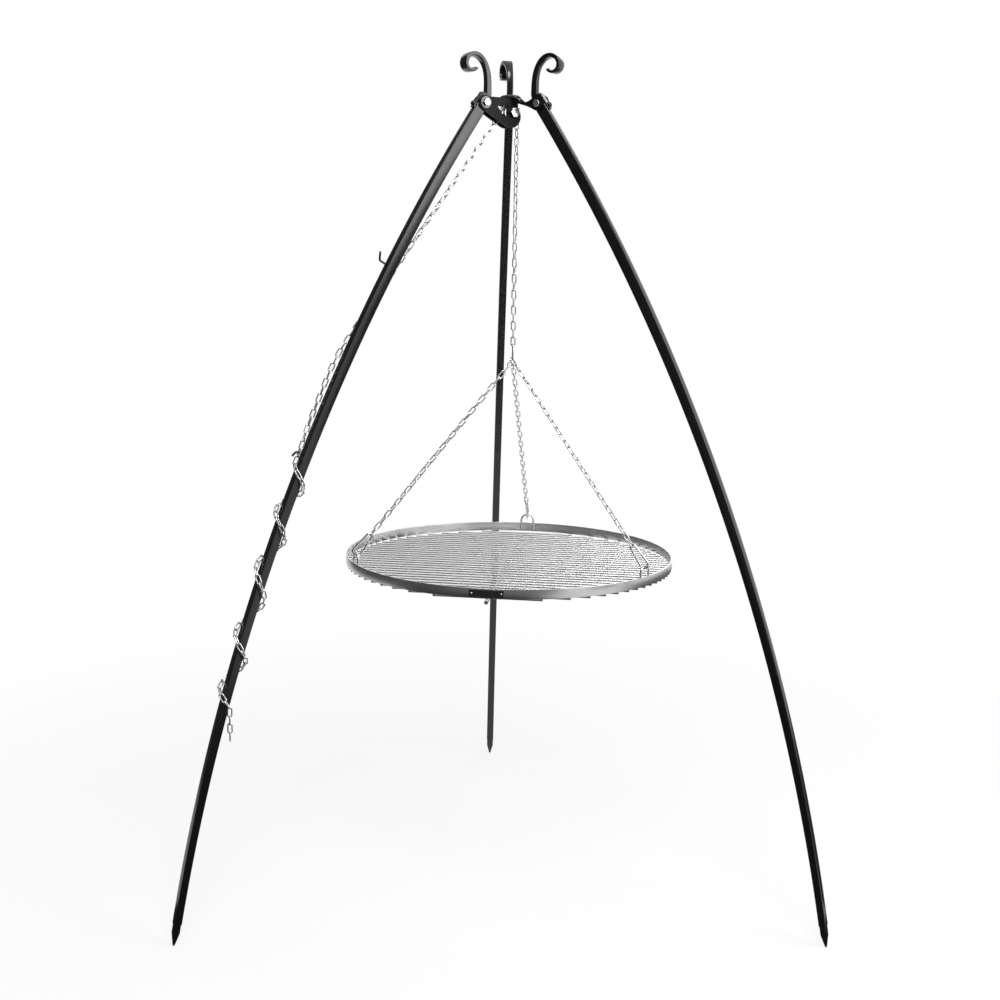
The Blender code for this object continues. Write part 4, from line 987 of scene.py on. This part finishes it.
# Three points of the guide lead the chain round the leg's far corner: at the corner, just past it, and on
# the outer face a little before the hook.
corner_out = leg_depth(PASS_END_DOWN) / 2 + 0.003
leave_corner = PASS_END_DOWN + 0.045
leave_out = leg_depth(leave_corner) / 2 + CHAIN_STANDOFF + 0.001
hook_out = leg_depth(LOWER_HOOK_DOWN) / 2 + CHAIN_STANDOFF + 0.0006
guide = [
    split - Vector((PIVOT_RADIUS, 0, PIVOT_HEIGHT)),
    behind,
    leg_place(PASS_END_DOWN, corner_out, -side_off),
    leg_place(leave_corner, leave_out, -side_off + 0.003),
    leg_place(LOWER_HOOK_DOWN - 0.060, hook_out, -0.008),
    leg_place(LOWER_HOOK_DOWN - CHAIN_PITCH, hook_out, 0),
    leg_place(LOWER_HOOK_DOWN + CHAIN_PITCH / 2, hook_out, 0),
]
path = []
for a, b in zip(guide, guide[1:]):
    path += straight(a, b)[:-1]
path.append(guide[-1])
chain("chain_down_leg", fitted_walk(path, CHAIN_PITCH), Vector((1, 0, 0)), ["leg_chain"],
      Vector((0, 1, 0)), LEG_FRAMES["left"])


def wound_path():
    """Down the leg and round it: the knots say how far down each turn has come."""
    start_turn = WRAP_START_TURN
    start_down = LOWER_HOOK_DOWN + CHAIN_PITCH * WRAP_START_LINKS
    wound = straight(guide[-1], leg_place(start_down, hook_out, 0))
    end_turn = len(WRAP_TURNS_DOWN) - 1 + WRAP_LAST_PART
    knots = [(start_turn, start_down)] + [(i + 1, down) for i, down in enumerate(WRAP_TURNS_DOWN)]
    for i in range(1, WRAP_STEPS + 1):
        turns = start_turn + (end_turn - start_turn) * i / WRAP_STEPS
        before = max(knot for knot in knots if knot[0] <= turns)
        after = min(knot for knot in knots if knot[0] > turns)
        down = before[1] + (after[1] - before[1]) * (turns - before[0]) / (after[0] - before[0])
        full = math.hypot(leg_depth(down) / 2, LEG_WIDTH / 2) - LEG_CORNER / 2 + WRAP_CLEARANCE
        radius = hook_out + (full - hook_out) * min(1.0, (turns - start_turn) / WRAP_EASE_TURNS)
        angle = 2 * math.pi * (turns - start_turn)
        wound.append(leg_place(down, radius * math.cos(angle), radius * math.sin(angle)))
    tail_steps = range(1, TAIL_STEPS + 1)
    tail = [wound[-1] - UP * CHAIN_PITCH * TAIL_LINKS * i / TAIL_STEPS for i in tail_steps]
    return wound + tail


chain("chain_round_leg", fitted_walk(wound_path(), CHAIN_PITCH), Vector((1, 0, 0)), ["wrap_chain"],
      matrix=LEG_FRAMES["left"])

# %% [markdown]
# ## Hooks on the leg
# Two hooks of round rod are welded to the outer face of the left leg. The upper one turns up and is free,
# the lower one turns down over a link. They differ only in size and direction, so one function bends both,
# from rings that let the tip close in a dome.

# %% Leg hooks
HOOK_ROD = 0.0022
HOOK_BEND = HOOK_ROD * 2.2
HOOK_BEND_TURN = 70
HOOK_BEND_STEPS = 10
TIP_STATIONS = (0.5, 0.93, 0.98, 1.0)
TIP_SHARES = [0.9, 0.6]
UPPER_HOOK_DOWN = 0.390


def leg_hook(name, down, reach, tip, turn):
    """Out of the leg's face, round a bend, then down along it, or up when turn is -1."""
    _, along, outward = leg_frame(down)
    foot = leg_place(down, leg_depth(down) / 2 + GAP, 0)
    corner = foot + outward * (reach - HOOK_BEND)
    points = [foot, foot + outward * (reach - HOOK_BEND) * 0.5, corner]
    for i in range(1, HOOK_BEND_STEPS + 1):
        angle = math.radians(HOOK_BEND_TURN) * i / HOOK_BEND_STEPS
        out = outward * HOOK_BEND * math.sin(angle)
        points.append(corner + out + along * turn * HOOK_BEND * (1 - math.cos(angle)))
    direction = (points[-1] - points[-2]).normalized()
    last = points[-1]
    points += [last + direction * tip * part for part in TIP_STATIONS]
    shares = [1] * (len(points) - len(TIP_SHARES)) + TIP_SHARES
    piece(name + "_rod", rod(points, HOOK_ROD, shares=shares), BLACK, [name], LEG_FRAMES["left"])


leg_hook("upper_chain_hook", UPPER_HOOK_DOWN, reach=0.018, tip=0.014, turn=-1)
leg_hook("lower_chain_hook", LOWER_HOOK_DOWN, reach=0.0145, tip=0.009, turn=1)
print("hooks of", HOOK_ROD * 2000, "mm rod")

# %% [markdown]
# ## Snap hooks
# A snap hook is a bent rod, wider at one end, with a sprung gate in one side. One small one gathers the
# three grate chains under the hanging chain, and each of those ends in a larger one at the rim. Its
# outline could be drawn point by point. Two arcs and the straight sides between them need six sizes only,
# and serve both kinds.

# %% Snap hook shapes
LOW_BOW_STEPS = 20
HIGH_BOW_STEPS = 16
SNAP_SIDES = 16
GATE_PART = 0.86
GATE_ROUNDED_STATIONS = (-0.96, -0.8, -0.5, 0)
GATE_STRAIGHT_STATIONS = (0.5, 0.97, 1)
GATE_SHARES = (0.3, 0.62, 0.88, 1, 1, 1, 0.85)


def snap_outline(length, top_width, bottom_width, radius, gate_top_part, gate_foot_part):
    """The rod's centreline in its own plane (across, down), from the gate's foot round to its hinge."""
    top = (top_width / 2 - radius, bottom_width / 2 - radius)
    top_centre = radius + top[0]
    bottom_centre = length - radius - top[1]
    lean = math.degrees(math.asin((top[1] - top[0]) / (bottom_centre - top_centre)))
    low = arc((0, bottom_centre), top[1], 180 + lean, -lean, LOW_BOW_STEPS)
    high = arc((0, top_centre), top[0], -lean, -180 + lean, HIGH_BOW_STEPS)
    side_top, side_foot = Vector(high[-1]), Vector(low[0])
    foot = side_top.lerp(side_foot, gate_foot_part)
    hinge = side_top.lerp(side_foot, gate_top_part)
    return [foot] + low + high + [hinge], foot, hinge


def snap_hook(node, top_point, down_direction, across, size):
    """Body and gate of a snap hook; returns the middle of its rod at the lower bow."""
    length, _, _, radius, _, _ = size
    outline, foot, hinge = snap_outline(*size)
    start = top_point - down_direction * radius

    def place(point):
        return start + across * point[0] + down_direction * point[1]

    body = [place(point) for point in outline]
    piece(node + "_rod", rod(body, radius, SNAP_SIDES), ZINC, [node])
    gate_radius = radius * GATE_PART
    along = (place(foot) - place(hinge)).normalized()
    pin = place(hinge) + along * (gate_radius + GAP)
    reach = (place(foot) - pin).length - GAP
    points = [pin + along * gate_radius * s for s in GATE_ROUNDED_STATIONS]
    points += [pin + along * reach * s for s in GATE_STRAIGHT_STATIONS]
    gate = rod(points, gate_radius, SNAP_SIDES, GATE_SHARES)
    piece(node + "_gate_rod", gate, ZINC, [node + "_gate"])
    return start + down_direction * (length - radius)


# %% [markdown]
# ## Grate chains
# The three chains start on the centre hook's lower bow and end in snap hooks, each through a small
# hoop of rod welded inside the rim. Nothing is pushed into contact by eye: the ends are worked out from
# the rods that they lie on, and a whole number of links fills the space between.

# %% Centre hook, grate chains, snap hooks and hoops
CENTRE_HOOK_LENGTH = 0.040
CENTRE_HOOK_WIDTH = 0.0205
CENTRE_HOOK_TOP_PART = 0.8
TURNED_LINK_EASE = 0.0012
CENTRE_GATE_ENDS = (0.15, 0.85)
SNAP_SIZE = (0.060, 0.017, 0.024, 0.0025, 0.21, 0.807)
GRATE_TOP = 0.7188
RIM_RADIUS = 0.350
RIM_THICK = 0.003
RIM_CAD_SEGMENTS = 60
BAIL_ROD = 0.0023
BAIL_HALF_WIDTH = 0.0145
BAIL_RISE = 0.0205
BAIL_LEG_DOWN = 0.015
BAIL_AZIMUTHS = {"back": 80.7, "left": 200.7, "right": 320.7}
BOW_TILTS = {"back": 60, "left": -4, "right": -50}

centre_size = (CENTRE_HOOK_LENGTH, CENTRE_HOOK_WIDTH * CENTRE_HOOK_TOP_PART, CENTRE_HOOK_WIDTH,
               CENTRE_HOOK_ROD, *CENTRE_GATE_ENDS)
hook_top = STRAND + UP * (CENTRE_HOOK_TOP - CENTRE_HOOK_ROD)
hook_low = snap_hook("centre_snap_hook", hook_top, -UP, Vector((0, -1, 0)), centre_size)
bow_radius = CENTRE_HOOK_WIDTH / 2 - CENTRE_HOOK_ROD
bow_centre = hook_low + UP * bow_radius
rim_inner_flat = (RIM_RADIUS - RIM_THICK) * math.cos(math.pi / RIM_CAD_SEGMENTS)
bail_radius = math.sqrt(rim_inner_flat ** 2 - (BAIL_HALF_WIDTH + BAIL_ROD) ** 2) - GAP - BAIL_ROD

for label, azimuth in BAIL_AZIMUTHS.items():
    turn = math.radians(azimuth)
    outward = Vector((math.cos(turn), math.sin(turn), 0))
    tangent = UP.cross(outward)
    tilt = math.radians(BOW_TILTS[label])
    bow_wire = Vector((0, math.cos(tilt), math.sin(tilt)))
    on_bow = bow_centre + Vector((0, math.sin(tilt), -math.cos(tilt))) * bow_radius
    bail_top = STRAND + outward * bail_radius + UP * (GRATE_TOP + BAIL_RISE)
    down_direction = (bail_top - on_bow).normalized()
    snap_rod = SNAP_SIZE[3]
    low_end = bail_top + down_direction * (BAIL_ROD + snap_rod + GAP)
    snap_start = low_end - down_direction * (SNAP_SIZE[0] - 2 * snap_rod)
    across = down_direction.cross(tangent).normalized()
    if across.dot(outward) < 0:
        across = -across
    snap_hook(label + "_snap_hook", snap_start, down_direction, across, SNAP_SIZE)
    chain_start = on_bow - down_direction * (CENTRE_HOOK_ROD + TURNED_LINK_EASE)
    chain_end = snap_start + down_direction * (snap_rod + GAP)
    count = round((chain_end - chain_start).length / CHAIN_PITCH)
    joints = [chain_start.lerp(chain_end, k / count) for k in range(count + 1)]
    chain(label + "_chain_to_rim", joints, bow_wire.cross(down_direction),
          [label + "_grate_chain"], tangent)
    hoop = [(-BAIL_HALF_WIDTH, -BAIL_LEG_DOWN)]
    hoop += arc((0, BAIL_RISE - BAIL_HALF_WIDTH), BAIL_HALF_WIDTH, 180, 0, 16)
    hoop.append((BAIL_HALF_WIDTH, -BAIL_LEG_DOWN))
    points = [STRAND + outward * bail_radius + tangent * x + UP * (GRATE_TOP + z) for x, z in hoop]
    piece(label + "_hoop", rod(points, BAIL_ROD, SNAP_SIDES), ROD_STEEL, [label + "_bail"])

# %% [markdown]
# ## Grate
# The rim is a flat bar rolled into a ring. Straight rods lie side by side under it, welded to a heavier
# cross-bar. An Array modifier would make them all alike. They repeat at one pitch and differ in length,
# so Geometry Nodes set them on a line of points and scale each to the ring's chord there.

# %% Rim
RIM_HEIGHT = 0.020
RIM_CORNER = 0.0006
GRATE_TURN = -9.3
GRATE_FRAME = upright_frame(STRAND + UP * GRATE_TOP, GRATE_TURN)


def rolled_rim(steps=288):
    section = rounded_section(RIM_THICK / 2, RIM_HEIGHT / 2, RIM_CORNER)
    middle = RIM_RADIUS - RIM_THICK / 2
    rings = []
    for i in range(steps):
        turn = 2 * math.pi * i / steps
        out = Vector((math.cos(turn), math.sin(turn), 0))
        rings.append([out * (middle + a) + UP * (b - RIM_HEIGHT / 2) for a, b in section])
    return skin(rings, looped=True)


piece("rolled_rim", rolled_rim(), RIM_STEEL, ["grate_rim"], GRATE_FRAME)
print("rim", RIM_RADIUS * 2000, "mm wide")

# %% Rods under the rim
ROD_RADIUS = 0.0022
ROD_PITCH = 0.022
CROSS_BAR_RADIUS = 0.004
ROD_REACH = RIM_RADIUS - RIM_THICK / 4
ROD_HEIGHT = -RIM_HEIGHT - GAP - ROD_RADIUS
WELD_DEPTH = 0.0006
RODDED_PART = 0.97
BAR_INSET = 0.002
ROD_SIDES = 20
BAR_HEIGHT = ROD_HEIGHT - ROD_RADIUS - CROSS_BAR_RADIUS + WELD_DEPTH


def rod_tree():
    tree, given = start_tree("rods_across_a_ring", {
        "Reach": "Float", "Rod radius": "Float", "Bar radius": "Float", "Bar height": "Float",
        "Bar length": "Float", "Sides": "Int"})
    place = add_node(tree, "GeometryNodeInputPosition")
    offset = add_node(tree, "ShaderNodeSeparateXYZ", values={0: place}, out=1)
    edge = offset.function("ABSOLUTE") + given["Rod radius"]
    chord = 2 * (given["Reach"] * given["Reach"] - edge * edge).function("SQRT")
    size = add_node(tree, "ShaderNodeCombineXYZ", values={"X": chord, "Y": 1.0, "Z": 1.0})
    straight_rod = add_node(tree, "GeometryNodeMeshCylinder", values={
        "Vertices": given["Sides"], "Radius": given["Rod radius"], "Depth": 1.0})
    lying = add_node(tree, "GeometryNodeTransform", values={
        "Geometry": straight_rod, "Rotation": (0, math.radians(90), 0)})
    rods = add_node(tree, "GeometryNodeInstanceOnPoints", values={
        "Points": given["Geometry"], "Instance": lying, "Scale": size})
    bar = add_node(tree, "GeometryNodeMeshCylinder", values={
        "Vertices": given["Sides"], "Radius": given["Bar radius"], "Depth": given["Bar length"]})
    bar_place = add_node(tree, "ShaderNodeCombineXYZ", values={"Z": given["Bar height"]})
    bar_lying = add_node(tree, "GeometryNodeTransform", values={
        "Geometry": bar, "Translation": bar_place, "Rotation": (math.radians(90), 0, 0)})
    join = tree.nodes.new("GeometryNodeJoinGeometry")
    for part in (bar_lying, rods):
        tree.links.new(part.socket, join.inputs[0])
    end_tree(tree, given, Flow(tree, join.outputs[0]))
    return tree


rod_count = int(ROD_REACH * RODDED_PART / ROD_PITCH)
line = bpy.data.meshes.new("rod_points")
line.from_pydata([(0, i * ROD_PITCH, ROD_HEIGHT) for i in range(-rod_count, rod_count + 1)], [], [])
rods = grown(rod_tree(), "welded_rods", line, {
    "Reach": ROD_REACH, "Rod radius": ROD_RADIUS, "Bar radius": CROSS_BAR_RADIUS, "Bar height": BAR_HEIGHT,
    "Bar length": 2 * (ROD_REACH - BAR_INSET), "Sides": ROD_SIDES, "Material": ROD_STEEL}, GRATE_FRAME)
settle(rods, ROD_STEEL, ["grate_rods"])
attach(rods, BODY_OF["grate_rods"])
print("rods", 2 * rod_count + 1)

# %% [markdown]
# A small bare plate is riveted to the front of the rim. It could be drawn anew, but the model's own plate
# already lies against the rim, so it only gets its edges rounded, as the plates of the hub do.

# %% Bare plate on the rim, and its rivets
plate = edged("nameplate", PLATE_STEEL, 0.0002)
for node in ("nameplate_rivet_left", "nameplate_rivet_right"):
    edged(node, ZINC, 0.0001, angle=50)
print("plate", len(plate.data.vertices), "points")

# %% [markdown]
# ## Floor, backdrop and light
# The object stands on a pale floor before a white wall. Close to the object the floor takes a soft
# shadow, and it fades into the white of the backdrop a few metres out. Plain white paint would show the
# floor's far edge as a grey line, so the paint gives way to even white light with distance.

# %% Floor
FADE_PER_METRE = 0.2
FADE_STOPS = ((0.16, 0.68), (0.4, 1.0))
FLOOR_SIZE = 40
FLOOR_HEIGHT = -0.0005


def seen_directly(tree):
    """One for rays that show the backdrop: straight to the camera, mirrored or through glass."""
    names = ("Is Camera Ray", "Is Glossy Ray", "Is Transmission Ray")
    path = [add_node(tree, "ShaderNodeLightPath", out=name) for name in names]
    return path[0] + path[1] + path[2]


def floor_material():
    material = bpy.data.materials.new("pale_floor")
    material.use_nodes = True
    tree = material.node_tree
    tree.nodes.clear()
    place = add_node(tree, "ShaderNodeTexCoord", out=3)
    distance = add_node(tree, "ShaderNodeVectorMath", {"operation": "LENGTH"}, {0: place}, out=1)
    fade = add_node(tree, "ShaderNodeValToRGB", {"stops": FADE_STOPS}, {0: distance * FADE_PER_METRE})
    paint = add_node(tree, "ShaderNodeBsdfDiffuse", values={"Color": (0.93, 0.93, 0.93, 1)})
    glow = add_node(tree, "ShaderNodeEmission", values={"Color": (1, 1, 1, 1), "Strength": 1.0})
    mixed = add_node(tree, "ShaderNodeMixShader", values={0: seen_directly(tree) * fade, 1: paint, 2: glow})
    feed(tree, tree.nodes.new("ShaderNodeOutputMaterial").inputs["Surface"], mixed)
    return material


def panel(name, size, place, aim, material):
    """A square sheet of the set, facing a point."""
    shape = bmesh.new()
    bmesh.ops.create_grid(shape, x_segments=1, y_segments=1, size=size / 2)
    mesh = bpy.data.meshes.new(name)
    shape.to_mesh(mesh)
    shape.free()
    item = bpy.data.objects.new(name, mesh)
    item.data.materials.append(material)
    item.location = place
    item.rotation_euler = (Vector(aim) - Vector(place)).to_track_quat("Z", "Y").to_euler()
    bpy.context.scene.collection.objects.link(item)
    return item


panel("floor", FLOOR_SIZE, (0, 0, FLOOR_HEIGHT), (0, 0, 1), floor_material())
print("floor", FLOOR_SIZE, "m wide")

# %% [markdown]
# A photographer sets dark cards beside bright metal and black paint, so that edges draw against the
# white. Three stand on the left, before the camera and low on the right, and two lie on the floor. Only
# mirror reflections show them: they throw no shadow and dim no light.

# %% Dark cards
# Name, size, place, aim and shade of each card.
CARDS = [
    ("left_card", 6.5, (-2.1, -0.4, 1.6), (0, -0.4, 1.6), 0.08),
    ("front_card", 4.0, (-0.4, -2.8, 2.0), (-0.4, 0, 2.0), 0.17),
    ("right_card", 1.3, (3.3, -1.95, 0.9), (0, -0.25, 0.9), 0.03),
    ("near_floor_card", 3.6, (-1.0, -2.2, 0.003), (-1.0, -2.2, 1), 0.03),
    ("far_floor_card", 3.0, (2.25, 1.1, 0.003), (2.25, 1.1, 1), 0.06),
]


def card_material(name, shade):
    material = bpy.data.materials.new(name)
    material.use_nodes = True
    tree = material.node_tree
    tree.nodes.clear()
    felt = object_noise(tree, (3, 3, 3), 2.0)
    glow = add_node(tree, "ShaderNodeEmission", values={
        "Color": (1, 1, 1, 1), "Strength": shade + felt * 0.02})
    feed(tree, tree.nodes.new("ShaderNodeOutputMaterial").inputs["Surface"], glow)
    return material


for name, size, place, aim, shade in CARDS:
    card = panel(name, size, place, aim, card_material(name, shade))
    card.visible_camera = False
    card.visible_diffuse = False
    card.visible_transmission = False
    card.visible_volume_scatter = False
    card.visible_shadow = False
print("cards", len(CARDS))

# %% [markdown]
# A white world lights the object from all round. It has its full strength where it is seen or mirrored,
# and less where it lights, so that black paint stays black. A window on the right and a softbox above the
# camera make the highlights. A lamp behind draws the far edges.

# %% World and lamps
# Name, place, size in metres and power in watts of each lamp.
LAMPS = [
    ("window", (3.1, -1.9, 2.65), 2.4, 75),
    ("softbox", (0.2, -2.4, 3.8), 1.2, 60),
    ("rear", (1.6, 3.4, 2.8), 2.0, 30),
]
WORLD_LIGHT = 0.5
AIM_HEIGHT = 1.0


def make_world():
    world = bpy.data.worlds.new("backdrop")
    world.use_nodes = True
    bpy.context.scene.world = world
    tree = world.node_tree
    background = tree.nodes["Background"]
    background.inputs["Color"].default_value = (1, 1, 1, 1)
    feed(tree, background.inputs["Strength"], WORLD_LIGHT + seen_directly(tree) * (1 - WORLD_LIGHT))


def make_lamp(name, place, size, power):
    data = bpy.data.lights.new(name, "AREA")
    data.size = size
    data.energy = power
    item = bpy.data.objects.new(name, data)
    item.location = place
    aim = Vector((AXIS.x, AXIS.y, AIM_HEIGHT)) - Vector(place)
    item.rotation_euler = aim.to_track_quat("-Z", "Y").to_euler()
    bpy.context.scene.collection.objects.link(item)


make_world()
for lamp in LAMPS:
    make_lamp(*lamp)
bpy.context.scene.view_settings.view_transform = "Standard"
print("lamps", [name for name, *_ in LAMPS])
